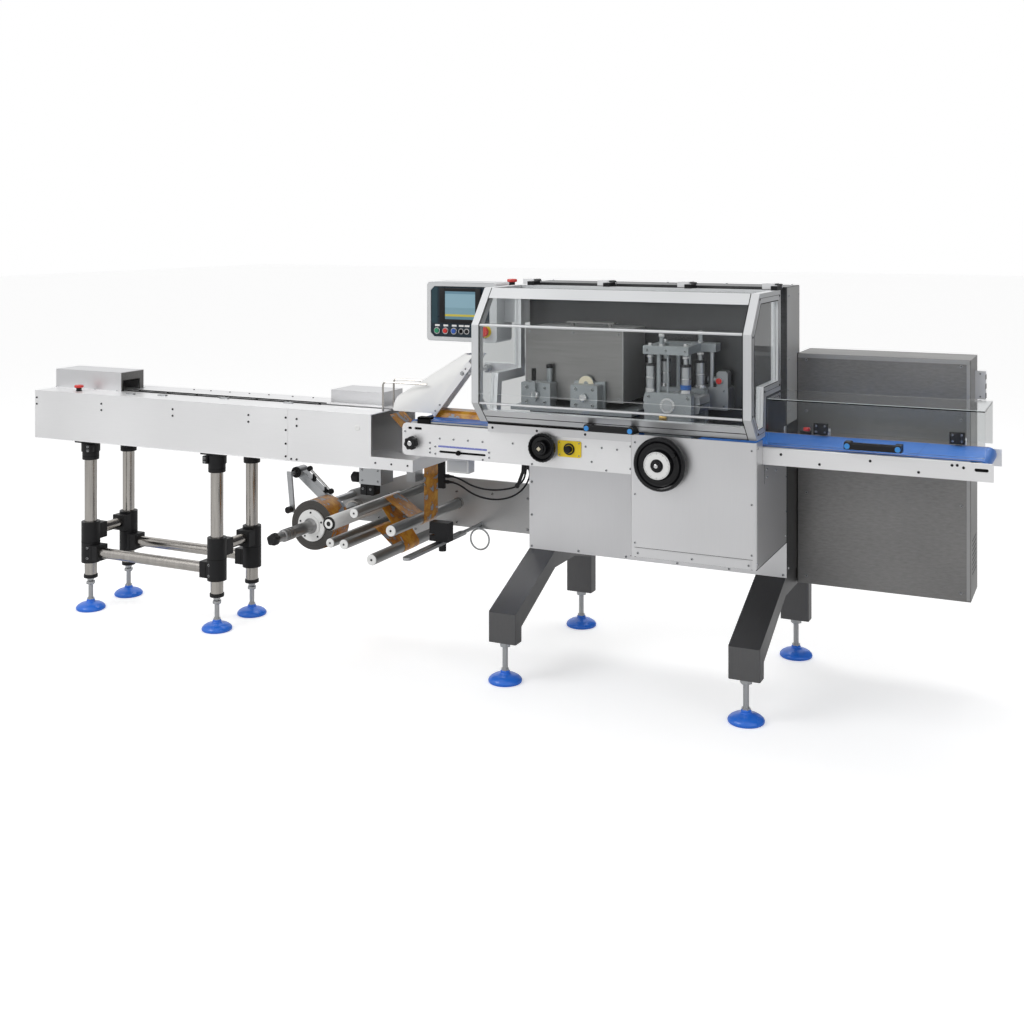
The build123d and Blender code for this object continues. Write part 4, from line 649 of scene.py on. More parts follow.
# one node tree makes every group of screw heads
def screwTree():
    tree = bpy.data.node_groups.new("screwHeads", "GeometryNodeTree")
    groupSocket(tree, "Geometry", "INPUT", "NodeSocketGeometry")
    groupSocket(tree, "Head Diameter", "INPUT", "NodeSocketFloat", 0.009)
    groupSocket(tree, "Head Height", "INPUT", "NodeSocketFloat", 0.003)
    groupSocket(tree, "Facing", "INPUT", "NodeSocketVector", (0, 0, 0))
    groupSocket(tree, "Head Finish", "INPUT", "NodeSocketMaterial")
    groupSocket(tree, "Socket Finish", "INPUT", "NodeSocketMaterial")
    groupSocket(tree, "Geometry", "OUTPUT", "NodeSocketGeometry")
    start = addNode(tree, "NodeGroupInput", (-1200, 0))
    end = addNode(tree, "NodeGroupOutput", (1300, 0))
    half = addNode(tree, "ShaderNodeMath", (-950, 200), operation="MULTIPLY")
    half.inputs[1].default_value = 0.5
    wire(tree, start.outputs["Head Diameter"], half.inputs[0])
    top = addNode(tree, "ShaderNodeMath", (-950, 0), operation="MULTIPLY")
    top.inputs[1].default_value = 0.36
    wire(tree, start.outputs["Head Diameter"], top.inputs[0])
    head = addNode(tree, "GeometryNodeMeshCone", (-700, 200))
    head.inputs["Vertices"].default_value = 14
    wire(tree, top.outputs[0], head.inputs["Radius Top"])
    wire(tree, half.outputs[0], head.inputs["Radius Bottom"])
    wire(tree, start.outputs["Head Height"], head.inputs["Depth"])
    hexRadius = addNode(tree, "ShaderNodeMath", (-950, -200), operation="MULTIPLY")
    hexRadius.inputs[1].default_value = 0.24
    wire(tree, start.outputs["Head Diameter"], hexRadius.inputs[0])
    drive = addNode(tree, "GeometryNodeMeshCylinder", (-700, -200))
    drive.inputs["Vertices"].default_value = 6
    drive.inputs["Depth"].default_value = 0.0003
    wire(tree, hexRadius.outputs[0], drive.inputs["Radius"])
    lift = addNode(tree, "ShaderNodeCombineXYZ", (-700, -450))
    wire(tree, start.outputs["Head Height"], lift.inputs["Z"])
    moved = addNode(tree, "GeometryNodeTransform", (-450, -200))
    wire(tree, drive.outputs["Mesh"], moved.inputs["Geometry"])
    wire(tree, lift.outputs[0], moved.inputs["Translation"])
    mark = addNode(tree, "GeometryNodeStoreNamedAttribute", (-200, -200), data_type="BOOLEAN", domain="FACE")
    mark.inputs["Name"].default_value = "driveFace"
    mark.inputs["Value"].default_value = True
    wire(tree, moved.outputs[0], mark.inputs["Geometry"])
    both = addNode(tree, "GeometryNodeJoinGeometry", (50, 100))
    wire(tree, head.outputs["Mesh"], both.inputs[0])
    wire(tree, mark.outputs[0], both.inputs[0])
    spin = addNode(tree, "FunctionNodeRandomValue", (-450, 500), data_type="FLOAT_VECTOR")
    spin.inputs["Max"].default_value = (0, 0, 6.28)
    spin.inputs["Seed"].default_value = 7
    facing = addNode(tree, "FunctionNodeEulerToRotation", (-200, 600))
    wire(tree, start.outputs["Facing"], facing.inputs[0])
    turnBy = addNode(tree, "FunctionNodeEulerToRotation", (-200, 450))
    wire(tree, spin.outputs[0], turnBy.inputs[0])
    turn = addNode(tree, "FunctionNodeRotateRotation", (50, 500), rotation_space="LOCAL")
    wire(tree, facing.outputs[0], turn.inputs[0])
    wire(tree, turnBy.outputs[0], turn.inputs[1])
    place = addNode(tree, "GeometryNodeInstanceOnPoints", (300, 0))
    wire(tree, start.outputs["Geometry"], place.inputs["Points"])
    wire(tree, both.outputs[0], place.inputs["Instance"])
    wire(tree, turn.outputs[0], place.inputs["Rotation"])
    real = addNode(tree, "GeometryNodeRealizeInstances", (550, 0))
    wire(tree, place.outputs[0], real.inputs[0])
    paint = addNode(tree, "GeometryNodeSetMaterial", (800, 0))
    wire(tree, real.outputs[0], paint.inputs["Geometry"])
    wire(tree, start.outputs["Head Finish"], paint.inputs["Material"])
    onDrive = addNode(tree, "GeometryNodeInputNamedAttribute", (800, -300), data_type="BOOLEAN")
    onDrive.inputs["Name"].default_value = "driveFace"
    paintDrive = addNode(tree, "GeometryNodeSetMaterial", (1050, 0))
    wire(tree, paint.outputs[0], paintDrive.inputs["Geometry"])
    wire(tree, onDrive.outputs[0], paintDrive.inputs["Selection"])
    wire(tree, start.outputs["Socket Finish"], paintDrive.inputs["Material"])
    wire(tree, paintDrive.outputs[0], end.inputs[0])
    return tree


screwHeads = screwTree()
facings = {"front": (math.radians(90), 0, 0), "back": (math.radians(-90), 0, 0), "top": (0, 0, 0),
           "left": (0, math.radians(-90), 0), "right": (0, math.radians(90), 0)}


def screws(name, spots, facing, diameter=9.0, height=3.0, head="machinedSteel", body="machine_frame"):
    mesh = bpy.data.meshes.new(name)
    mesh.from_pydata([mm(*spot) for spot in spots], [], [])
    piece = bpy.data.objects.new(name, mesh)
    bpy.context.scene.collection.objects.link(piece)
    modifier = piece.modifiers.new("screwHeads", "NODES")
    modifier.node_group = screwHeads
    setInput(modifier, screwHeads, "Head Diameter", diameter / 1000)
    setInput(modifier, screwHeads, "Head Height", height / 1000)
    setInput(modifier, screwHeads, "Facing", facings[facing])
    setInput(modifier, screwHeads, "Head Finish", finish[head])
    setInput(modifier, screwHeads, "Socket Finish", finish["slotBlack"])
    settle(piece)
    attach(piece, body)
    return piece


# sensor cables first: each hangs from its gland to the box on the housing
cables = {"diameter": 0.007, "glandLength": 26.0,
          "upper": [(-61, -60, 652), (-32, -60, 652), (-4, -53, 641), (28, -36, 619), (66, -14, 605), (107, 9, 600),
                    (146, 29, 604), (171, 42, 610), (190, 53, 623), (202, 61, 641), (206, 64, 658),
                    (206, 64, 680)],
          "lower": [(-61, -60, 630), (-32, -60, 630), (-4, -53, 617), (26, -37, 591), (62, -14, 572),
                    (104, 10, 563), (144, 30, 568), (172, 45, 580), (193, 56, 597), (209, 63, 618),
                    (219, 68, 641), (223, 70, 660), (223, 70, 680)],
          "lengths": {"upper": 0.355, "lower": 0.398}}


def sensorCable(which):
    route = cables[which]
    data = bpy.data.curves.new("sensor_cable_" + which, "CURVE")
    data.dimensions = "3D"
    data.bevel_depth = cables["diameter"] / 2
    data.bevel_resolution = 3
    data.resolution_u = 10
    data.use_fill_caps = True
    spline = data.splines.new("NURBS")
    spline.points.add(len(route) - 1)
    for point, spot in zip(spline.points, route):
        point.co = (*mm(*spot), 1)
    spline.order_u = 3
    spline.use_endpoint_u = True
    piece = bpy.data.objects.new("cable_" + which, data)
    bpy.context.scene.collection.objects.link(piece)
    data.materials.append(finish["cableBlack"])
    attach(piece, "machine_frame")
    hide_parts("sensor_cable_" + which)


def strainReliefs():
    bm = bmesh.new()
    for which in ("upper", "lower"):
        x, y, z = cables[which][0]
        boot = [(0, 0), (7.6, 0), (7.6, 3), (6.4, 4.5), (6.4, 7), (5.6, 8), (5.6, 12), (4.9, 13), (4.9, 17),
                (4.3, 18), (4.3, 22), (3.9, 23), (3.9, cables["glandLength"]), (0, cables["glandLength"])]
        addTurned(bm, (x, y, z), (1, 0, 0), boot, 0, 24)
        x, y, z = cables[which][-1]
        addTurned(bm, (x, y, z), (0, 0, -1), boot[:11] + [(0, 22)], 0, 24)
    finishPiece(bm, "cable_strain_reliefs", ["blackPlastic"])


for whichCable in ("upper", "lower"):
    sensorCable(whichCable)
strainReliefs()
print("cables hung")


infeed = {"front": -310.0, "top": 906.0, "left": -1905.0, "joint": -616.0, "right": -247.0,
          "pairXs": (-1539, -1169, -799), "pairZs": (870, 844), "tunnelRight": -1543.0, "tunnelTop": 985.0}


def infeedDetails():
    y = infeed["front"]
    spots = [(x, y, z) for x in infeed["pairXs"] for z in infeed["pairZs"]]
    spots += [(-1894, y, z) for z in (876, 849)] + [(-625, y, z) for z in (871, 824, 772, 724)]
    spots += [(-575, y, 869), (-575, y, 843), (-600, y, 716), (-575, y, 716)]
    screws("infeed_front_screws", spots, "front", 9, 3.0, "chainDark")
    back = [(x, 20, z) for x in (-1880, -1480, -1080, -680, -280) for z in (880, 735)]
    screws("infeed_back_screws", back, "back", 9, 3.0, "chainDark")
    top = [(x, -15, 906) for x in (-1302, -1214, -1115, -1015, -917, -800, -700)]
    screws("infeed_top_screws", top, "top", 8, 2.4, "chainDark")
    screws("tunnel_screws", [(x, -197, 908) for x in (-1898, -1790, -1680, -1560)], "top", 8, 2.2)
    bm = bmesh.new()
    for at in (-166.6, -129.4):  # wear strips along both sides of the chain slot
        addBlock(bm, (-1530, at - 1.6, 906.2), (-560, at + 1.6, 909.5), 0, 0.4, 1)
    for x, at in ((-1441, -246), (-1297, -220), (-1010, -186), (-700, -186)):
        addBlock(bm, (x - 20, at - 8, 906.2), (x + 20, at + 8, 910.5), 1, 1.0, 2)
    for x in range(-1480, -560, 150):  # pusher lugs standing out of the chain
        addBlock(bm, (x - 4, -151, 890), (x + 4, -145, 911), 2, 0.8, 1)
    finishPiece(bm, "chain_slot_parts", ["slotBlack", "machinedSteel", "chainDark"])
    bm = bmesh.new()
    for z0, z1 in ((904.6, 907.2), (706.9, 709.6)):  # folded lips at the top and bottom of the front panels
        for x0, x1 in ((-1904, -617.5), (-614.5, -248)):
            addBlock(bm, (x0, y - 1.4, z0), (x1, y + 1.0, z1), 0, 0.6, 2)
    addBlock(bm, (-1904, -205, 906), (-1545, -190, 908), 0, 0.5, 1)
    addBlock(bm, (-1904, -53, 906), (-1545, -40, 908), 0, 0.5, 1)
    addBlock(bm, (-552, -118, 906), (-313, -112, 909), 0, 0.6, 1)
    finishPiece(bm, "infeed_folded_lips", ["infeedSheet"])
    bm = bmesh.new()
    x = infeed["tunnelRight"]
    for lo, hi in (((x, -189, 907), (x + 1, -178, 983)), ((x, -178, 948), (x + 1, -82, 983)),
                   ((x, -82, 907), (x + 1, -54, 983))):
        addBlock(bm, lo, hi, 0, 0.3, 1)
    for lo, hi in (((x, -181, 906), (x + 2.4, -178, 951)), ((x, -181, 948), (x + 2.4, -79, 951)),
                   ((x, -82, 906), (x + 2.4, -79, 951))):
        addBlock(bm, lo, hi, 1, 0.5, 1)
    finishPiece(bm, "tunnel_end", ["darkSheet", "slotBlack"])
    bm = bmesh.new()
    addTurned(bm, (-305, y, 854), (0, -1, 0), [(0, 0), (11, 0), (11, 1.5), (9, 3), (3, 3), (2.4, 2), (0, 2)], 0, 28)
    finishPiece(bm, "infeed_plugs", ["whitePlastic"])


def columnDetails():
    bolts = []
    bm = bmesh.new()
    for x, side in ((-1648, 1), (-993, -1)):
        for y, depth in ((-255, 1), (-28, -1)):
            face = y - depth * 32
            for at in ((side * 13, 262), (side * 13, 219)):
                bolts.append((x + at[0], face, at[1], "front" if depth > 0 else "back"))
            addRing(bm, (x, y, 626), (0, 0, 1), 34, 25.2, 35, 0, 44)
            addRing(bm, (x, y, 640), (0, 0, 1), 34.4, 33, 1.6, 1, 44)
            ear = sorted((x + side * 14, x + side * 38))
            out = sorted((y - depth * 44, y - depth * 18))
            addBlock(bm, (ear[0], out[0], 662), (ear[1], out[1], 693), 0, 2.5, 2)  # split ear of the head
            for z in (685, 669):
                bolts.append((x + side * 26, y - depth * 44, z, "front" if depth > 0 else "back"))
            crack = sorted((x + side * 31, x + side * 33))
            addBlock(bm, (crack[0], y - 32.6, 209), (crack[1], y + 32.6, 271), 1, 0.0)
            for z0, z1 in ((281.5, 283.5),):  # joint between the two stacked clamps
                addRing(bm, (x, y, z0), (0, 0, 1), 38.5, 36.5, z1 - z0, 1, 40)
            addTurned(bm, (x, y, 132), (0, 0, 1), [(0, 0), (27, 0), (28.5, 1.5), (28.5, 13), (27, 14.5), (25.2, 14.5),
                                                    (25.2, 4), (0, 4)], 0, 40)
            addTurned(bm, (x, y, 104), (0, 0, 1), [(0, 0), (16, 0), (18.5, 2), (18.5, 12), (16, 14), (0, 14)], 2, 6)
    finishPiece(bm, "column_collars", ["blackPlastic", "slotBlack", "machinedSteel"])
    for way in ("front", "back"):
        screws("clamp_bolts_" + way, [b[:3] for b in bolts if b[3] == way], way, 12, 5)


def footDomes():
    # low blue domes that stand on the floor where the pads of the frame do
    lo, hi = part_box("foot_pads")
    radius = -1648 - lo[0] * 1000
    top = hi[2] * 1000
    dome = [(0, 0), (radius - 4, 0), (radius - 1, 2.5), (radius, 7), (radius - 1.5, 12), (radius - 7, 18),
            (radius - 17, 24), (radius - 26, 27), (22, 29.5), (19, 31), (17.5, top - 3), (15, top), (0, top)]
    bm = bmesh.new()
    for x, y in ((292, -291), (292, 414), (1154, -291), (1154, 414), (-1648, -255), (-1648, -28), (-993, -255),
                 (-993, -28)):
        addTurned(bm, (x, y, 0), (0, 0, 1), dome, 0, 56)
    piece = finishPiece(bm, "foot_domes", ["footBlue"], smooth=50)
    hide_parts("foot_pads")


def legDetails():
    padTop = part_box("foot_pads")[1][2] * 1000
    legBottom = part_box("leg_frames")[0][2] * 1000
    bm = bmesh.new()
    for x in (292, 1154):
        for y in (-291, 414):
            z = legBottom - 17
            addTurned(bm, (x, y, z), (0, 0, 1), [(0, 0), (17, 0), (20, 2), (20, 14), (17, 16), (0, 16)], 0, 6)
            addTurned(bm, (x, y, padTop - 6), (0, 0, 1), [(0, 0), (15, 0), (17, 2), (17, 9), (14, 12), (0, 12)], 1, 28)
    for x, y in ((-1648, -255), (-1648, -28), (-993, -255), (-993, -28)):
        addTurned(bm, (x, y, padTop - 6), (0, 0, 1), [(0, 0), (15, 0), (17, 2), (17, 9), (14, 12), (0, 12)], 1, 28)
    finishPiece(bm, "foot_nuts", ["machinedSteel", "footBlue"])


infeedDetails()
columnDetails()
footDomes()
legDetails()
print("infeed, columns and feet dressed")


beam = {"face": -295.0, "scaleLeft": 27.0, "scaleRight": 222.0, "scaleTicks": 66}


def beamDetails():
    y = beam["face"]
    spots = [(-7, 818), (-7, 797), (-7, 783), (33, 836), (89, 836), (147, 836), (205, 836), (15, 780), (15, 806),
             (231, 800), (231, 782), (323, 839), (598, 848), (657, 848), (712, 846), (-110, 853), (206, 773),
             (397, 773), (620, 798), (673, 773), (760, 860), (760, 785)]
    screws("beam_front_screws", [(x, y, z) for x, z in spots], "front", 8.5, 2.8)
    screws("rest_bar_screws", [(x, -305, 891) for x in (249, 420, 600, 770)], "front", 9, 2.8, "chainDark")
    screws("beam_back_screws", [(x, -1, z) for x in (-60, 60, 420, 560) for z in (860, 790)], "back", 9, 3)
    bm = bmesh.new()
    addBlock(bm, (beam["scaleLeft"], y - 0.8, 805), (beam["scaleRight"], y, 811.5), 0, 0.2, 1)
    step = (beam["scaleRight"] - beam["scaleLeft"] - 4) / beam["scaleTicks"]
    for i in range(beam["scaleTicks"] + 1):
        x = beam["scaleLeft"] + 2 + i * step
        tall = 3.6 if i % 5 == 0 else 2.0
        addBlock(bm, (x - 0.25, y - 1.0, 811 - tall), (x + 0.25, y - 0.8, 811), 1)
    addBlock(bm, (30, y + 4.5, 784), (218, y + 5.5, 794), 2)  # black sheet behind the slots paints the shade in the space behind them
    # black sheets behind these slots paint the shade behind them too
    for x0, x1 in ((-102, -78), (-75, -33)):
        addBlock(bm, (x0, y + 4.5, 859), (x1, y + 5.5, 873), 2)
    addTurned(bm, (109, y, 789), (0, -1, 0), [(0, 0), (9, 0), (9, 3), (6.5, 4.5), (6.5, 11), (5, 13), (0, 13)], 2, 24)
    addBlock(bm, (231, -306.2, 903.6), (788, -294.8, 914), 2, 1.0, 2)  # gasket under the hood
    addBlock(bm, (-60, -295, 884), (-8, -290, 907), 2, 1.5, 2)
    addBlock(bm, (-60, -295, 899), (-8, -264, 908), 2, 2.0, 3)
    finishPiece(bm, "beam_scale_and_slots", ["scaleBlue", "whitePlastic", "slotBlack"])
    bm = bmesh.new()
    for name in ("wrap_belt", "outfeed_belt"):
        lo, hi = [[c * 1000 for c in corner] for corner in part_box(name)]
        for at in (lo[1], hi[1] - 3):
            addBlock(bm, (lo[0] + 22, at, hi[2]), (hi[0] - 22, at + 3, hi[2] + 0.5), 0)
        for x in (lo[0] + 150, hi[0] - 210):  # vulcanised joint across the belt
            addBlock(bm, (x, lo[1] + 1, hi[2]), (x + 2, hi[1] - 1, hi[2] + 0.35), 1)
    finishPiece(bm, "belt_edges", ["beltEdge", "beltSeam"])
    bm = bmesh.new()
    addBar(bm, (347, -250, 769), (345, -250, 734), 9, 0, 20)
    addBar(bm, (345, -250, 742), (322, -250, 684), 6, 0, 16)
    addTurned(bm, (322, -250, 690), (-0.4, 0, -1), [(0, 0), (7, 0), (9, 6), (8, 14), (0, 18)], 0, 20)
    finishPiece(bm, "beam_clamp_lever", ["blackPlastic"])
    bm = bmesh.new()
    addBlock(bm, (-6, -172, 690), (86, -122, 742), 0, 3.0, 3)
    addBlock(bm, (2, -173, 697), (78, -171.6, 735), 1, 1.0, 2)
    addBar(bm, (40, -147, 741), (40, -147, 806), 6, 2, 16)
    finishPiece(bm, "edge_reader", ["whitePlastic", "panelWhite", "machinedSteel"])


controls = {"stopCap": [(0, 14), (16.5, 14), (19, 16.5), (19, 21.5), (17.4, 24.6), (12.5, 26), (0, 26)],
            "stopStem": [(0, 0), (12.5, 0), (12.5, 3), (11, 4), (11, 14.2), (0, 14.2)],
            "plateCorner": 6.0}


def handControls():
    bm = bmesh.new()
    for spot, way in (((111, -83, 1208), (0, -1, 0)), ((191, -21, 1377), (0, 0, 1)), ((-1718, -250, 906), (0, 0, 1))):
        addTurned(bm, spot, way, controls["stopStem"], 0, 32)
        addTurned(bm, spot, way, controls["stopCap"], 1, 44)
    knob = [(0, 0), (13.8, 0), (13.8, 6), (21, 7), (23, 9.5), (23, 30), (21, 33), (15, 34), (13, 31.5), (0, 31.5)]
    addTurned(bm, (-74, -295, 815), (0, -1, 0), knob, 0, 84, wave=(0.07, 7))
    addTurned(bm, (-74, -326.5, 815), (0, -1, 0), [(0, 0), (9, 0), (9, 1.5), (7.5, 2.5), (0, 2.5)], 2, 28)
    addProfile(bm, roundedCorners(496, 582, 808, 864, controls["plateCorner"]), -295, -299, 3)
    addRing(bm, (539, -299, 836), (0, -1, 0), 20, 15.5, 4, 0, 44)
    addTurned(bm, (539, -299, 836), (0, -1, 0), [(0, 0), (15.4, 0), (15.4, 1), (0, 1)], 3, 44)
    addTurned(bm, (539, -300, 836), (0, -1, 0), [(0, 0), (12, 0), (12, 12), (11, 15), (8.5, 17), (0, 17)], 0, 44)
    piece = finishPiece(bm, "hand_controls", ["blackPlastic", "signalRed", "brightSteel", "signalYellow"])
    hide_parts("buttons_and_knobs")
    screws("switch_plate_screws", [(503, -299, 857), (575, -299, 857), (503, -299, 815), (575, -299, 815)],
           "front", 6, 1.8)


wheels = {"main": {"x": 899.0, "z": 829.0, "back": -389.0, "radius": 88.0, "depth": 44.0},
          "small": {"x": 446.0, "z": 837.0, "back": -311.0, "radius": 50.0, "depth": 30.0}}


def mainWheel():
    w = wheels["main"]
    start = (w["x"], w["back"], w["z"])
    bm = bmesh.new()
    rim = [(10.6, 0), (80, 0), (85, 2), (87.6, 6), (88, 13), (87, 21), (83.5, 26), (78, 27.2), (74.5, 25), (72.5, 20),
           (69, 17.6), (57, 17.4), (50, 20), (46, 28), (45, 36), (45, 39.5), (43.6, 41), (10.6, 41), (10.6, 0)]
    addTurned(bm, start, (0, -1, 0), rim, 0, 96, closed=True)
    addRing(bm, (w["x"], w["back"] - 41, w["z"]), (0, -1, 0), 44.6, 21.5, 1.6, 1, 72)
    for i in range(60):  # plain graduations on the white ring
        a = math.radians(6 * i)
        r0 = 37 if i % 5 == 0 else 40
        p = [(w["x"] + r * math.cos(a), w["back"] - 43, w["z"] + r * math.sin(a)) for r in (r0, 43.6)]
        addBar(bm, p[0], p[1], 0.35, 2, 6)
    addRing(bm, (w["x"], w["back"] - 41, w["z"]), (0, -1, 0), 21, 10.6, 3, 0, 56)
    grip = (w["x"] + 64 * math.cos(math.radians(35)), w["back"] - 17.4, w["z"] + 64 * math.sin(math.radians(35)))
    addTurned(bm, grip, (0, -1, 0), [(0, 0), (6.5, 0), (6.5, 3), (5, 5), (7.5, 9), (8.6, 16), (7.4, 22), (0, 24.5)], 0, 28)
    piece = finishPiece(bm, "main_wheel_turned", ["blackGloss", "whitePlastic", "slotBlack"], "main_wheel")
    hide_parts("main_handwheel")


def smallWheel():
    w = wheels["small"]
    start = (w["x"], w["back"], w["z"])
    bm = bmesh.new()
    rim = [(10.6, 0), (44, 0), (48.5, 2), (50, 6), (50, 14), (48, 18.4), (44, 18.6), (41, 15), (38, 9.5), (27, 9),
           (25, 12), (24, 27), (22.5, 29.6), (10.6, 29.6), (10.6, 0)]
    addTurned(bm, start, (0, -1, 0), rim, 0, 100, wave=(0.012, 25), closed=True)
    piece = finishPiece(bm, "small_wheel_turned", ["blackGloss"], "small_wheel")
    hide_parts("small_handwheel")


def spindleCaps():
    # the fixed spindles end in plain caps in front of the wheels
    bm = bmesh.new()
    for key, tip in (("main", -437.0), ("small", -345.0)):
        w = wheels[key]
        addTurned(bm, (w["x"], tip, w["z"]), (0, -1, 0), [(0, 0), (15.6, 0), (15.6, 1.2), (14, 2.4), (0, 2.4)], 0, 44)
    main = wheels["main"]
    addTurned(bm, (main["x"], -439.4, main["z"]), (0, -1, 0), [(0, 0), (6.5, 0), (6.5, 2), (5, 3), (0, 3)], 1, 28)
    small = wheels["small"]
    addTurned(bm, (small["x"], -347.4, small["z"]), (0, -1, 0), [(0, 0), (8, 0), (8, 1.6), (7, 2.4), (0, 2.4)], 2, 4)
    finishPiece(bm, "spindle_caps", ["blackGloss", "brightSteel", "creamPlate"])


beamDetails()
handControls()
mainWheel()
smallWheel()
spindleCaps()
print("beam, controls and wheels made")


reel = {"x": -575.0, "z": 445.0, "back": -80.5, "rings": (262, 282, 302)}


def reelClamp():
    start = (reel["x"], reel["back"], reel["z"])
    way = (0, -1, 0)
    bm = bmesh.new()
    addTurned(bm, start, way, [(0, 167), (17.8, 167), (17.8, 0), (37, 0), (38, 1), (38, 125.4), (36, 126), (0, 126)],
              0, 48)
    addRing(bm, (reel["x"], reel["back"] - 125.4, reel["z"]), way, 61, 18.5, 9, 1, 72)
    addRing(bm, (reel["x"], reel["back"] - 134.4, reel["z"]), way, 40, 18.5, 5, 1, 56)
    sleeve = [(18.2, 137), (30, 137), (30, 141), (22, 150)]
    h = 150
    for ring in reel["rings"]:
        sleeve += [(22 if h == 150 else 19, h), (22 if h == 150 else 19, ring - 0.5), (19, ring), (22, ring + 1),
                   (22, ring + 15), (19, ring + 16)]
        h = ring + 16
    sleeve += [(20, 320), (18.5, 321.5), (18, 322), (18, 361), (0, 361)]
    addTurned(bm, start, way, sleeve, 2, 56)
    for ring in reel["rings"]:  # knurled bands on the sleeve
        for i in range(36):
            a = 2 * math.pi * i / 36
            x = reel["x"] + 22 * math.cos(a)
            z = reel["z"] + 22 * math.sin(a)
            addBlock(bm, (x - 0.8, reel["back"] - ring - 14, z - 0.8), (x + 0.8, reel["back"] - ring - 2, z + 0.8), 2)
    knob = [(0, 361), (17, 361), (20.5, 363), (21.4, 366), (21.4, 384), (20, 389), (14, 391.5), (11, 390), (0, 390)]
    addTurned(bm, start, way, knob, 3, 90, wave=(0.075, 5))
    piece = finishPiece(bm, "reel_clamp", ["machinedSteel", "whitePlastic", "sleeveSteel", "blackPlastic"], "film_reel")
    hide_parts("reel_hub")
    spots = [(reel["x"] + 50 * math.cos(math.radians(a)), reel["back"] - 134.4, reel["z"] + 50 * math.sin(math.radians(a)))
             for a in (20, 92, 164, 236, 308)]
    screws("reel_flange_bolts", spots, "front", 8, 3, "chainDark", "film_reel")


rollerCaps = {"upper_left": (-366, 513, 26), "lower_left": (-361, 443, 17), "lower_middle": (-302, 444, 18),
              "bottom": (-185, 401, 20), "right": (-105, 513, 20), "top": (-259, 561, 17)}


def rollerCap(name, x, z, r):
    white = name != "upper_left"
    bm = bmesh.new()
    addTurned(bm, (x, -405, z), (0, -1, 0), [(0, 0), (r - 0.6, 0), (r - 0.6, 2.4), (r - 2, 4), (r * 0.45, 4),
                                             (r * 0.40, 2.6), (0, 2.6)], 0, 48)
    addTurned(bm, (x, -407.6, z), (0, -1, 0), [(0, 0), (r * 0.22, 0), (r * 0.22, 1.4), (0, 1.4)], 1, 6)
    if not white:
        addRing(bm, (x, -408.6, z), (0, -1, 0), r * 0.66, r * 0.34, 1.4, 2, 40)
    finishPiece(bm, "roller_cap_" + name, ["whitePlastic" if white else "blackPlastic", "chainDark", "whitePlastic"],
                "roller_" + name)


def unwindDetails():
    spots = [(x, 115, z) for x, z in ((41, 560), (192, 556), (-115, 557), (208, 598), (208, 496), (192, 436),
                                      (-114, 436), (-420, 520), (-470, 420), (-300, 390))]
    screws("unwind_plate_bolts", spots, "front", 11, 4)
    bm = bmesh.new()
    addRing(bm, (reel["x"], 84, reel["z"]), (0, -1, 0), 33, 17.4, 3, 0, 48)  # collar on the fixed shaft
    wire = [(40 + 3.6 * math.cos(math.radians(a)), 3.6 * math.sin(math.radians(a))) for a in range(0, 361, 45)]
    addTurned(bm, (-4, 98, 384), (0, -1, 0), wire, 0, 60, closed=True)
    addBar(bm, (-4, 115, 428), (-4, 88, 428), 4, 0, 16)
    finishPiece(bm, "hanging_ring", ["machinedSteel"])
    bm = bmesh.new()
    addBar(bm, (-690, -53, 628), (-590, -53, 546), 5, 0, 18)
    for x, z in ((-690, 628), (-590, 546)):
        addTurned(bm, (x, -45, z), (0, -1, 0), [(0, 0), (9, 0), (11, 2), (11, 12), (9, 15), (0, 15)], 1, 28)
    for x, z, low in ((-668, 610, 568), (-612, 564, 524)):  # links to the arm behind
        addBlock(bm, (x - 7, -58, low), (x + 7, -48, z), 1, 2, 2)
    addTurned(bm, (-735, -80.5, 615), (0, -1, 0), [(0, 0), (21, 0), (22, 1), (22, 5), (19, 7), (0, 7)], 1, 36)
    finishPiece(bm, "guide_arm_rod", ["brightSteel", "blackPlastic"])
    bm = bmesh.new()
    knob = [(0, 0), (6, 0), (6, 22), (16, 23), (19, 26), (19, 52), (16, 56), (0, 57)]
    addTurned(bm, (-335, -205, 648), (-1, 0, 0), knob, 0, 60, wave=(0.06, 5))
    addBlock(bm, (-345, -228, 588), (-285, -178, 635), 0, 3, 2)
    addBlock(bm, (-318, -229.5, 588), (-315, -176.5, 622), 1)
    finishPiece(bm, "tray_clamp", ["blackPlastic", "slotBlack"])
    screws("tray_clamp_bolts", [(-332, -228, 612), (-298, -228, 612)], "front", 10, 4)
    screws("tray_head_bolts", [(-322, -250, 688), (-254, -250, 688), (-322, -250, 648), (-254, -250, 648)], "front", 9, 3)
    screws("tray_screws", [(x, -310, 730) for x in (-228, -160, -92)], "front", 8, 2.6, "chainDark")


reelClamp()
for capName, (capX, capZ, capR) in rollerCaps.items():
    rollerCap(capName, capX, capZ, capR)
unwindDetails()
print("reel, rollers and tray dressed")


panel = {"floor": -83.0, "front": -86.0, "buttonZ": 1205.0,
         "buttons": ((-92, "signalGreen"), (-56, "signalRed"), (-20, "buttonBlue"))}


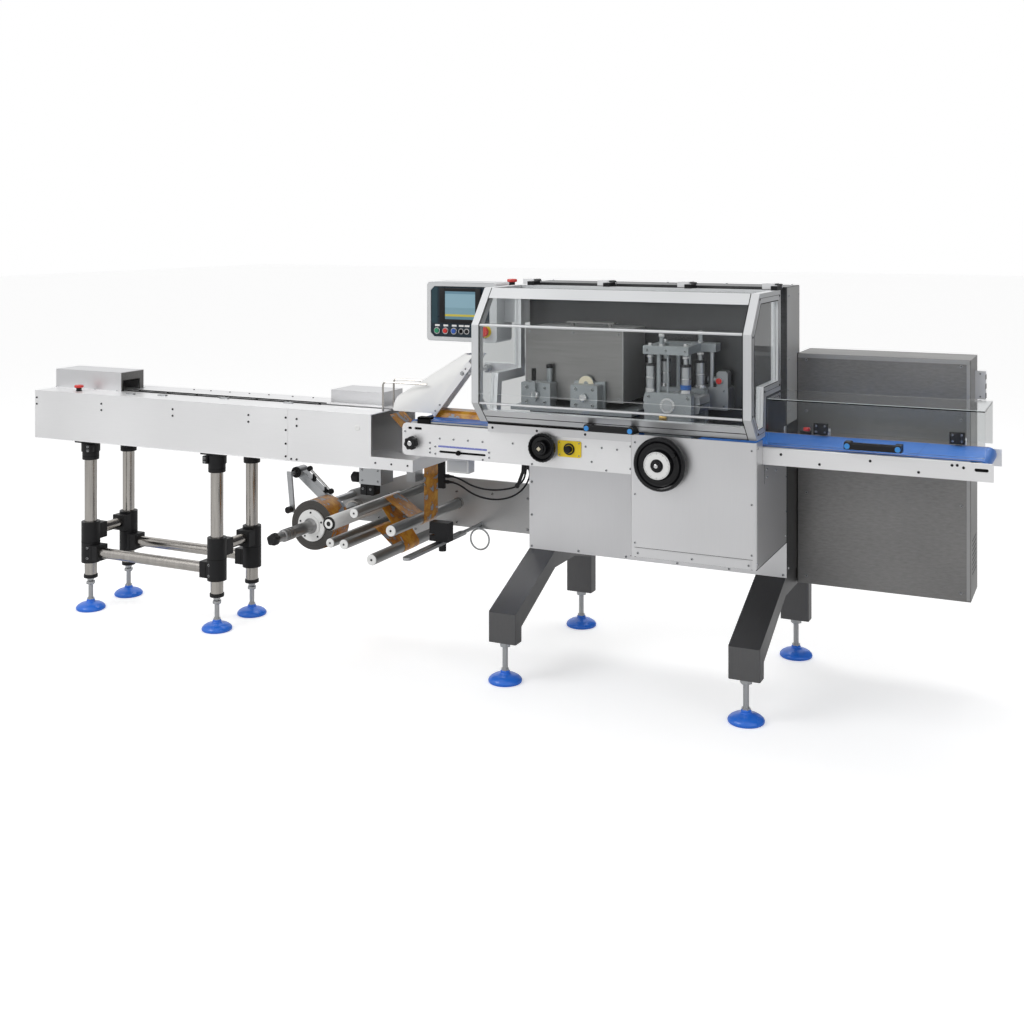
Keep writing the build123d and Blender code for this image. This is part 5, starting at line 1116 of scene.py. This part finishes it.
def operatorPanel():
    y = panel["floor"]
    facia = [(-104.5, 1182.5), (111.5, 1182.5), (126.5, 1198), (126.5, 1357), (111.5, 1372.5), (-104.5, 1372.5),
             (-119.5, 1357), (-119.5, 1198)]
    bm = bmesh.new()
    addProfile(bm, facia, y, y - 0.9, 0)
    addProfile(bm, roundedCorners(-117, -91, 1233, 1370, 3), y - 0.9, y - 1.6, 1)
    finishPiece(bm, "panel_facia", ["faciaDark", "faciaTeal"])
    bm = bmesh.new()
    for lo, hi in (((-80, 1235), (-57, 1367)), ((71, 1235), (94, 1367)), ((-57.4, 1235), (71.4, 1249.5)),
                   ((-57.4, 1354.5), (71.4, 1367))):
        addBlock(bm, (lo[0], -91, lo[1]), (hi[0], y - 0.5, hi[1]), 0, 1.2, 2)
    addBlock(bm, (-58, -88.9, 1248), (72, -87.6, 1356), 1, 0.2, 1)
    finishPiece(bm, "panel_display", ["blackPlastic", "displayLit"])
    bm = bmesh.new()
    z = panel["buttonZ"]
    cap = [(0, 1.8), (9.2, 1.8), (9.2, 8), (7.6, 10), (0, 10.6)]
    for i, (x, _) in enumerate(panel["buttons"]):
        addRing(bm, (x, y - 0.9, z), (0, -1, 0), 12.6, 9.6, 5, 0, 40)
        addTurned(bm, (x, y - 0.9, z), (0, -1, 0), cap, 3 + i, 40)
    for x in (10, 34):  # selector and plain key button
        addRing(bm, (x, y - 0.9, z), (0, -1, 0), 11, 8, 4, 0, 36)
        addTurned(bm, (x, y - 0.9, z), (0, -1, 0), [(0, 0.5), (7.8, 0.5), (7.8, 5), (0, 5)], 1, 36)
    addBlock(bm, (7.6, y - 15, z - 8), (12.4, y - 4, z + 8), 1, 1.5, 2)
    for x in (-92, -56, -20, 10, 34):
        addProfile(bm, roundedCorners(x - 10, x + 10, 1221.5, 1228.5, 1), y - 0.9, y - 1.7, 2)
    addRing(bm, (111, y - 0.5, 1208), (0, -1, 0), 23, 12.4, 4.4, 6, 52)
    finishPiece(bm, "panel_buttons", ["brightSteel", "blackPlastic", "whitePlastic", "signalGreen", "signalRed",
                                      "buttonBlue", "signalYellow"])
    bm = bmesh.new()
    for x0, x1 in ((-134, 155),):
        for z0 in (1168.5, 1385.6):  # lips round the open front of the shell
            addBlock(bm, (x0 + 14, -87, z0), (x1 - 14, -85.4, z0 + 1.6), 0, 0.5, 1)
    addBlock(bm, (-120, 42.6, 1182), (140, 45, 1373), 1, 1.2, 2)  # rear lid
    addBlock(bm, (-136.8, -40, 1200), (-135.6, 20, 1355), 1, 0.6, 1)
    finishPiece(bm, "panel_shell_trim", ["panelWhite", "panelWhite"])
    screws("panel_lid_screws", [(x, 45, z0) for x in (-112, 132) for z0 in (1190, 1278, 1365)], "back", 8, 2.4)
    screws("panel_side_screws", [(-136.8, y0, z0) for y0 in (-32, 12) for z0 in (1210, 1345)], "left", 8, 2.4)


operatorPanel()
print("operator panel made")


hood = {"left": 232.0, "right": 1209.0, "hinges": (285, 581, 882, 1184),
        "outline": ((-365, 921), (-434, 994), (-434, 1261), (-332, 1384), (-55, 1384), (-55, 1048), (-250, 1048),
                    (-262, 921))}


def insetOutline(points, depth):
    # every side of the (y, z) outline moved inwards by depth
    area = sum(a[0] * b[1] - b[0] * a[1] for a, b in zip(points, points[1:] + points[:1]))
    side = 1 if area > 0 else -1
    lines = []
    for a, b in zip(points, points[1:] + points[:1]):
        way = (Vector(b) - Vector(a)).normalized()
        shift = Vector((-way.y, way.x)) * side * depth
        lines.append((Vector(a) + shift, way))
    moved = []
    for i in range(len(points)):
        (p, d), (q, e) = lines[i - 1], lines[i]
        cross = d.x * e.y - d.y * e.x
        step = ((q - p).x * e.y - (q - p).y * e.x) / cross
        moved.append(p + d * step)
    return moved


def addBand(bm, x, thick, outer, inner, slot):
    # flat ring on the side of the hood between two insets of its outline
    a = insetOutline(list(hood["outline"]), outer)
    b = insetOutline(list(hood["outline"]), inner)
    for i in range(len(a)):
        j = (i + 1) % len(a)
        corners = [a[i], a[j], b[j], b[i]]
        low = [bm.verts.new(mm(x, c.x, c.y)) for c in corners]
        high = [bm.verts.new(mm(x + thick, c.x, c.y)) for c in corners]
        faces = [bm.faces.new(low), bm.faces.new(high[::-1])]
        for k in range(4):
            m = (k + 1) % 4
            faces.append(bm.faces.new([low[k], low[m], high[m], high[k]]))
        for f in faces:
            f.material_index = slot


def addFrontStrip(bm, x0, x1, thick, slot):
    # strip that follows the front of the hood from the bottom edge to the roof
    path = [Vector(p) for p in hood["outline"][:4]]
    out = insetOutline(list(hood["outline"]), -thick)[:4]
    inn = insetOutline(list(hood["outline"]), 0.2)[:4]
    for i in range(len(path) - 1):
        corners = [inn[i], out[i], out[i + 1], inn[i + 1]]
        low = [bm.verts.new(mm(x0, c.x, c.y)) for c in corners]
        high = [bm.verts.new(mm(x1, c.x, c.y)) for c in corners]
        faces = [bm.faces.new(low), bm.faces.new(high[::-1])]
        for k in range(4):
            m = (k + 1) % 4
            faces.append(bm.faces.new([low[k], low[m], high[m], high[k]]))
        for f in faces:
            f.material_index = slot


def hoodDetails():
    bm = bmesh.new()
    for x, thick in ((hood["right"], 0.4), (hood["left"], -0.4)):
        addBand(bm, x, thick, 14.5, 16, 0)
        addBand(bm, x, thick, 31.5, 34, 1)
    for x in (hood["left"] + 28, hood["right"] - 28):
        addFrontStrip(bm, x - 1.2, x + 1.2, 0.5, 1)
    for at in (-70, -318):  # grooves along the roof rails
        addBlock(bm, (262, at - 1.5, 1384), (1179, at + 1.5, 1384.4), 0)
    addBar(bm, (262, -386.6, 944), (1179, -386.6, 944), 1.4, 1, 8)
    addBar(bm, (262, -366.4, 923), (1179, -366.4, 923), 1.6, 1, 8)
    finishPiece(bm, "hood_grooves", ["grooveGrey", "slotBlack"], "hood")
    bm = bmesh.new()
    for y, z, tilt in ((-434.6, 994, 0), (-434.6, 1261, 0)):
        addBar(bm, (262, y + 1.2, z), (1179, y + 1.2, z), 1.3, 1, 10)  # pale bar paints the highlight on the line where two panes meet
    addBlock(bm, (260, -434.6, 1027.4), (1181, -433.6, 1028.4), 1)
    finishPiece(bm, "hood_knee_lines", ["whitePlastic", "aluminiumBar"], "hood")
    bm = bmesh.new()
    for x in (654, 806):
        addTurned(bm, (x, -427.8, 933), (0, -1, 0), [(0, 0), (8.6, 0), (8.6, 1.6), (7.4, 2.8), (0, 2.8)], 0, 32)
    finishPiece(bm, "hood_handle_caps", ["capBlue"], "hood")
    bm = bmesh.new()
    for x in (1482, 1634):
        addTurned(bm, (x, -331.8, 920), (0, -1, 0), [(0, 0), (8.6, 0), (8.6, 1.6), (7.4, 2.8), (0, 2.8)], 0, 32)
    finishPiece(bm, "guard_handle_caps", ["capBlue"], "outfeed_guard")
    spots = []
    for x in hood["hinges"]:
        spots += [(x - 33, y, 1404) for y in (-8, 16)] + [(x - 12, y, 1404) for y in (-8, 16)]
    screws("hinge_block_screws", [(x, y, z - 0.4) for x, y, z in spots], "top", 7, 0.4, "chainDark")
    screws("hinge_leaf_screws", [(x + 11, y, 1398) for x in hood["hinges"] for y in (-76, -56)], "top", 7, 2, "machinedSteel",
           "hood")
    screws("hood_frame_bolts", [(1209, y, z) for y, z in ((-349, 940), (-418, 1005), (-417, 1252), (-330, 1366),
                                                          (-72, 1366), (-72, 1066), (-270, 1066))], "right", 8, 2,
           "chainDark", "hood")
    screws("hood_frame_bolts_left", [(232, y, z) for y, z in ((-349, 940), (-418, 1005), (-417, 1252), (-330, 1366),
                                                              (-72, 1366), (-72, 1066), (-270, 1066))], "left", 8, 2,
           "chainDark", "hood")
    bm = bmesh.new()
    addBlock(bm, (233, -54.6, 1084), (246, -52, 1352), 0, 0.8, 1)  # fixed jamb beside the hood's rear post
    addBlock(bm, (247, -54.6, 1084), (252, -50, 1352), 1, 0.8, 1)
    addBlock(bm, (233, -52.5, 1090), (252, 30, 1110), 0, 0.8, 1)
    addBlock(bm, (233, -52.5, 1330), (252, 30, 1350), 0, 0.8, 1)
    addBlock(bm, (218, -20, 1296), (239, 30, 1324), 2, 2, 2)
    finishPiece(bm, "hood_jamb", ["whitePlastic", "slotBlack", "blackPlastic"])


def guardDetails():
    bm = bmesh.new()
    for x in (1340, 1774):
        addBlock(bm, (x - 24, -40.4, 902), (x + 24, -38.4, 941), 1, 1.0, 2)
    addBlock(bm, (1222, -285.5, 1045.6), (1880, -284.8, 1047), 0, 0.2, 1)  # pale strip paints the highlight on the polished pane edge
    finishPiece(bm, "guard_trim", ["paneEdgeHighlight", "blackPlastic"], "outfeed_guard")
    screws("guard_hinge_screws", [(x + s, -40.4, z) for x in (1340, 1774) for s in (-14, 14) for z in (912, 932)],
           "front", 8, 2.4, "brightSteel", "outfeed_guard")
    bm = bmesh.new()
    addBlock(bm, (1266, -14, 890), (1302, 10, 908), 0, 2, 2)
    addBlock(bm, (1276, -12, 907.5), (1297, 6, 919), 1, 3, 3)
    finishPiece(bm, "guard_switch", ["blackPlastic", "signalRed"])
    screws("outfeed_plate_screws", [(x, -295, z) for x, z in ((1268, 872), (1546, 873), (1820, 874), (1787, 879),
                                                              (1802, 880), (990, 0), (1390, 850), (1690, 850))
                                    if z], "front", 9, 3, "chainDark")
    bm = bmesh.new()
    addBlock(bm, (1849, -290.6, 864), (1893, -289.6, 876), 0)
    addBlock(bm, (1215, -296, 886.5), (1904, -288.4, 891), 1, 1.2, 2)
    finishPiece(bm, "outfeed_trim", ["slotBlack", "infeedSheet"])


hoodDetails()
guardDetails()
print("hood and guard dressed")


sealing = {"crimpX": 874.0, "upperZ": 998.0, "plateFace": -246.0, "columns": ((808, -229), (932, -229), (808, -67),
                                                                             (932, -67))}


def sealingDetails():
    x = sealing["crimpX"]
    y = sealing["plateFace"]
    bm = bmesh.new()
    addRing(bm, (x, y, sealing["upperZ"]), (0, -1, 0), 26, 18.8, 5, 0, 56)
    addRing(bm, (x, -50, sealing["upperZ"]), (0, 1, 0), 31, 19, 5, 0, 56)
    addBlock(bm, (846, y - 6, 946), (872, y, 964), 2, 2, 2)
    for cx, cy in sealing["columns"]:
        addRing(bm, (cx, cy, 1040), (0, 0, 1), 19, 15.2, 12, 0, 36)
        addRing(bm, (cx, cy, 1086), (0, 0, 1), 17, 15.2, 5, 0, 36)
        addRing(bm, (cx, cy, 1128), (0, 0, 1), 18, 8.4, 9, 1, 36)
        addRing(bm, (cx, cy, 1156), (0, 0, 1), 13, 8.4, 8, 0, 6)
    addRing(bm, (932, -229, 1053), (0, 0, 1), 18, 15.2, 16, 3, 36)
    for cx, cy in ((848, -229), (934, -67)):  # hand knobs over the cross beams
        addTurned(bm, (cx, cy, 1226), (0, 0, 1), [(0, 0), (9, 0), (11, 2), (11, 9), (8, 12), (0, 12.6)], 4, 28)
        addTurned(bm, (cx, cy, 1196), (0, 0, 1), [(0, 0), (12, 0), (12, 6), (0, 6)], 4, 6)
    for cx, cy in sealing["columns"]:
        addTurned(bm, (cx, cy, 1196), (0, 0, 1), [(0, 0), (9, 0), (9, 7), (7, 9), (0, 9)], 4, 6)
    addTurned(bm, (995, -54, 1065), (0, -1, 0), [(0, 0), (10.4, 0), (10.4, 2), (8.6, 3.4), (0, 3.4)], 5, 32)
    addRing(bm, (942, -28, 1065.4), (1, 0, 0), 15, 13.1, 8, 1, 36)
    finishPiece(bm, "sealing_collars", ["brightSteel", "chainDark", "brass", "collarBlue", "brightSteel", "signalRed"])
    screws("crimp_plate_bolts", [(cx, y, z) for cx in (806, 942) for z in (1026, 966)] +
           [(cx, y, z) for cx in (806, 942) for z in (938,)], "front", 11, 4.5)
    screws("crimp_back_bolts", [(cx, -50, z) for cx in (806, 942) for z in (1026, 966)], "back", 11, 4.5)
    screws("drive_block_screws", [(cx, -44, z) for cx in (916, 1010) for z in (1030, 978)], "front", 9, 3.5)
    screws("yoke_screws", [(cx, -244, 1182) for cx in (800, 866, 934)], "front", 9, 3.5)
    screws("adjuster_bolts", [(360, -258, 1035), (360, -258, 985), (429, -258, 1035), (429, -258, 985),
                              (545, -258, 1038), (607, -258, 1038), (545, -258, 984), (607, -258, 984)], "front", 12, 5)
    bm = bmesh.new()
    addTurned(bm, (394.5, -268, 1009.5), (0, -1, 0), [(0, 0), (13, 0), (13, 3), (11, 5), (0, 5)], 0, 36)
    addBlock(bm, (387, -278, 1060), (402, -266, 1104), 1, 3, 3)
    addTurned(bm, (576.5, -268, 1009.5), (0, -1, 0), [(0, 0), (13, 0), (13, 3), (11, 5), (0, 5)], 0, 36)
    addRing(bm, (566.5, -212.4, 1052), (0, -1, 0), 27, 9, 1.6, 2, 48)
    for s in (428, 428):
        addTurned(bm, (s, -212, 1100), (0, 0, 1), [(0, 0), (11.5, 0), (12, 2), (12, 12), (10, 14), (0, 14)], 1, 32)
    addBlock(bm, (345, -262, 967), (444, -258, 973), 1, 1, 1)
    addBlock(bm, (533, -262, 967), (620, -258, 973), 1, 1, 1)
    finishPiece(bm, "adjuster_parts", ["brightSteel", "blackPlastic", "creamPlate"])
    bm = bmesh.new()
    addBlock(bm, (326.8, -197, 989), (329.4, 29, 1238.6), 0, 0.8, 2)  # folded edges of the sheet cover
    addBlock(bm, (695.4, -197, 989), (698.2, 29, 1238.6), 0, 0.8, 2)
    addBlock(bm, (328, -197.2, 1236), (697, 29, 1239), 0, 0.8, 2)
    finishPiece(bm, "seal_cover_folds", ["plateGrey"])
    screws("seal_cover_screws", [(cx, -196, z) for cx in (344, 512, 681) for z in (1226, 1002)], "front", 8, 2.6)
    screws("deck_screws", [(cx, -250, 967) for cx in (312, 480, 512, 650, 738)], "top", 9, 3)


sealingDetails()
print("sealing units dressed")


housing = {"front": 27.0, "right": 1210.0, "back": 221.0}


def housingDetails():
    screws("lower_panel_bolts", [(x, 27, z) for x, z in ((250, 641), (250, 518), (250, 401), (439, 402), (625, 401),
                                                         (819, 400), (1008, 401), (1198, 401), (500, 768), (700, 768))],
           "front", 10, 3.4)
    screws("cover_strip_screws", [(x, -376, 528) for x in (815, 999, 1185)], "front", 9, 3)
    screws("cover_front_screws", [(x, -373, z) for x in (804, 1194) for z in (890, 720, 560)], "front", 8, 2.4,
           "machinedSteel")
    screws("cover_side_screws", [(1210, y, z) for y, z in ((-244, 812), (-244, 786), (-125, 788), (14, 743), (14, 623),
                                                           (14, 540), (-360, 896), (-360, 530))], "right", 8, 2.6,
           "machinedSteel")
    bm = bmesh.new()
    addBlock(bm, (1209.8, 26.6, 513), (1210.5, 30.4, 915), 0)  # joint between the cover and the housing
    addBlock(bm, (1209.8, -275, 770), (1210.4, -273, 886), 0)
    addBlock(bm, (787.6, -371, 513.5), (1210.2, 26, 515.5), 0)
    for z in (514.2, 545.0):  # shadow lines round the strip on the cover
        addBlock(bm, (803, -374, z), (1197, -372.8, z + 1.0), 0)
    for x0, x1 in ((262, 720), (732, 1188)):  # rear doors of the upright housing
        for lo, hi in (((x0, 221, 420), (x0 + 2.4, 221.6, 1350)), ((x1 - 2.4, 221, 420), (x1, 221.6, 1350)),
                       ((x0, 221, 420), (x1, 221.6, 422.4)), ((x0, 221, 1347.6), (x1, 221.6, 1350))):
            addBlock(bm, lo, hi, 0)
        for i in range(9):  # vent slots
            z = 520 + 18 * i
            addBlock(bm, (x0 + 110, 221, z), (x1 - 110, 221.7, z + 6), 0, 0.2, 1)
    finishPiece(bm, "housing_joints", ["slotBlack"])
    bm = bmesh.new()
    for x, side in ((262, -1), (1188, 1)):
        for z in (520, 880, 1250):
            addBlock(bm, (x - 9, 221, z - 32), (x + 9, 225, z + 32), 0, 1.2, 2)
            addBar(bm, (x, 226, z - 32), (x, 226, z + 32), 5, 0, 16)
    for x in (700, 752):
        for z in (620, 1130):
            addTurned(bm, (x, 221, z), (0, 1, 0), [(0, 0), (15, 0), (15, 3), (12, 5), (0, 5)], 1, 32)
            addBlock(bm, (x - 3, 225, z - 11), (x + 3, 230, z + 11), 0, 1, 1)
    finishPiece(bm, "housing_door_fittings", ["blackPlastic", "brightSteel"])
    bm = bmesh.new()
    for y1, z0, z1 in ((183, 918, 1151), (219, 1151.4, 1388)):  # lighter brushed sheet on the side, above the outfeed: its colour paints the light falling on the spine's right side
        addBlock(bm, (1210, 34, z0), (1210.8, y1, z1), 0, 0.2, 1)
    finishPiece(bm, "spine_side_painted_light", ["paintedLightSpineSide"])
    screws("spine_side_screws", [(1210, y, z) for y, z in ((53, 1140), (70, 966), (53, 1360), (200, 1360), (200, 420),
                                                           (53, 420))], "right", 9, 3)
    screws("spine_left_screws", [(240, y, z) for y, z in ((53, 1150), (200, 1360), (200, 420), (200, 900), (53, 420))],
           "left", 9, 3)
    screws("spine_top_screws", [(x, 200, 1390) for x in (262, 500, 725, 950, 1188)], "top", 9, 3)


cabinetPlan = {"left": 1210.0, "right": 1793.0, "front": 185.0, "back": 399.0, "low": 339.0, "high": 1150.0}


def cabinetDetails():
    c = cabinetPlan
    screws("cabinet_bolts", [(x, c["front"], z) for x in (1243, 1762) for z in (1128, 948, 660, 366)], "front", 10, 3)
    bm = bmesh.new()
    addBlock(bm, (c["left"] + 4, c["front"] - 0.8, c["high"] - 15), (c["right"] - 4, c["front"] + 1, c["high"] - 1), 0,
             0.4, 1)  # lighter strips paint the highlight where the folded top and right edges catch the light
    addBlock(bm, (c["right"] - 14, c["front"] - 0.8, c["low"] + 4), (c["right"] - 3, c["front"] + 1, c["high"] - 14), 0,
             0.4, 1)
    finishPiece(bm, "cabinet_fold_highlights", ["cabinetEdgeHighlight"])
    bm = bmesh.new()
    x0, x1, z0, z1 = 1232, 1771, 362, 1127
    for a, b in ((x0, 1500), (1503, x1)):  # two doors on the back
        addBlock(bm, (a, 398.6, z0), (b, 401.4, z1), 0, 1.2, 2)
    finishPiece(bm, "cabinet_doors", ["darkSheet"])
    bm = bmesh.new()
    for x in (1486, 1517):
        addTurned(bm, (x, 401.4, 760), (0, 1, 0), [(0, 0), (15, 0), (15, 3), (12, 5), (0, 5)], 1, 32)
        addBlock(bm, (x - 3, 405, 749), (x + 3, 410, 771), 0, 1, 1)
    for x in (1236, 1767):
        for z in (440, 760, 1060):
            addBar(bm, (x, 403.4, z - 28), (x, 403.4, z + 28), 5, 0, 16)
    for i in range(8):  # vents low in the right side
        z = 420 + 16 * i
        addBlock(bm, (c["right"] - 0.2, 232, z), (c["right"] + 0.5, 352, z + 5), 0, 0.2, 1)
    finishPiece(bm, "cabinet_fittings", ["blackPlastic", "brightSteel"])
    bm = bmesh.new()
    for z in (1008, 1040, 1072):
        addBlock(bm, (1826.8, 319, z), (1828.2, 341, z + 18), 0, 0.4, 1)
    finishPiece(bm, "duct_lids", ["slotBlack"])
    screws("duct_screws", [(1810, 318, z) for z in (1014, 1092)], "front", 7, 2)


def ploughDetails():
    bm = bmesh.new()
    # clamp where the rim bar meets its round arm
    armZ = 896 + 0.62 * (1166 - 896)
    armX = -42 + (armZ - 906) / math.tan(math.radians(52))
    addTurned(bm, (armX, -213, armZ), (0, -1, 0), [(0, 0), (9, 0), (9, 1.5), (6, 1.5), (6, 6), (0, 6)], 1, 6)
    addRing(bm, (armX, -208, armZ), (0, 1, 0), 14, 8.1, 16, 1, 32)
    addRing(bm, (armX, -20, armZ), (0, 1, 0), 15, 8.1, 18, 1, 32)
    finishPiece(bm, "plough_clamp", ["blackPlastic", "machinedSteel"])
    screws("plough_bar_screws", [(-30, -213, 921), (-12, -213, 944)], "front", 8, 2.6)


housingDetails()
cabinetDetails()
ploughDetails()
print("housing, cabinet and plough dressed")


def studioFloor():
    mesh = bpy.data.meshes.new("studioFloor")
    mesh.from_pydata([(-30, -30, 0), (30, -30, 0), (30, 40, 0), (-30, 40, 0)], [], [(0, 1, 2, 3)])
    floor = bpy.data.objects.new("studioFloor", mesh)
    bpy.context.scene.collection.objects.link(floor)
    mat, tree, shader = newFinish("studioFloor")
    shader.inputs["Base Color"].default_value = (0.86, 0.86, 0.86, 1)
    shader.inputs["Roughness"].default_value = 0.8
    shader.inputs["Specular IOR Level"].default_value = 0.2
    rays = addNode(tree, "ShaderNodeLightPath", (0, 400))
    seen = addNode(tree, "ShaderNodeMath", (200, 400), operation="MULTIPLY")
    seen.inputs[1].default_value = 0.42
    wire(tree, rays.outputs["Is Camera Ray"], seen.inputs[0])
    shader.inputs["Emission Color"].default_value = (1, 1, 1, 1)
    wire(tree, seen.outputs[0], shader.inputs["Emission Strength"])
    mesh.materials.append(mat)


studioFloor()

print("scene finished")
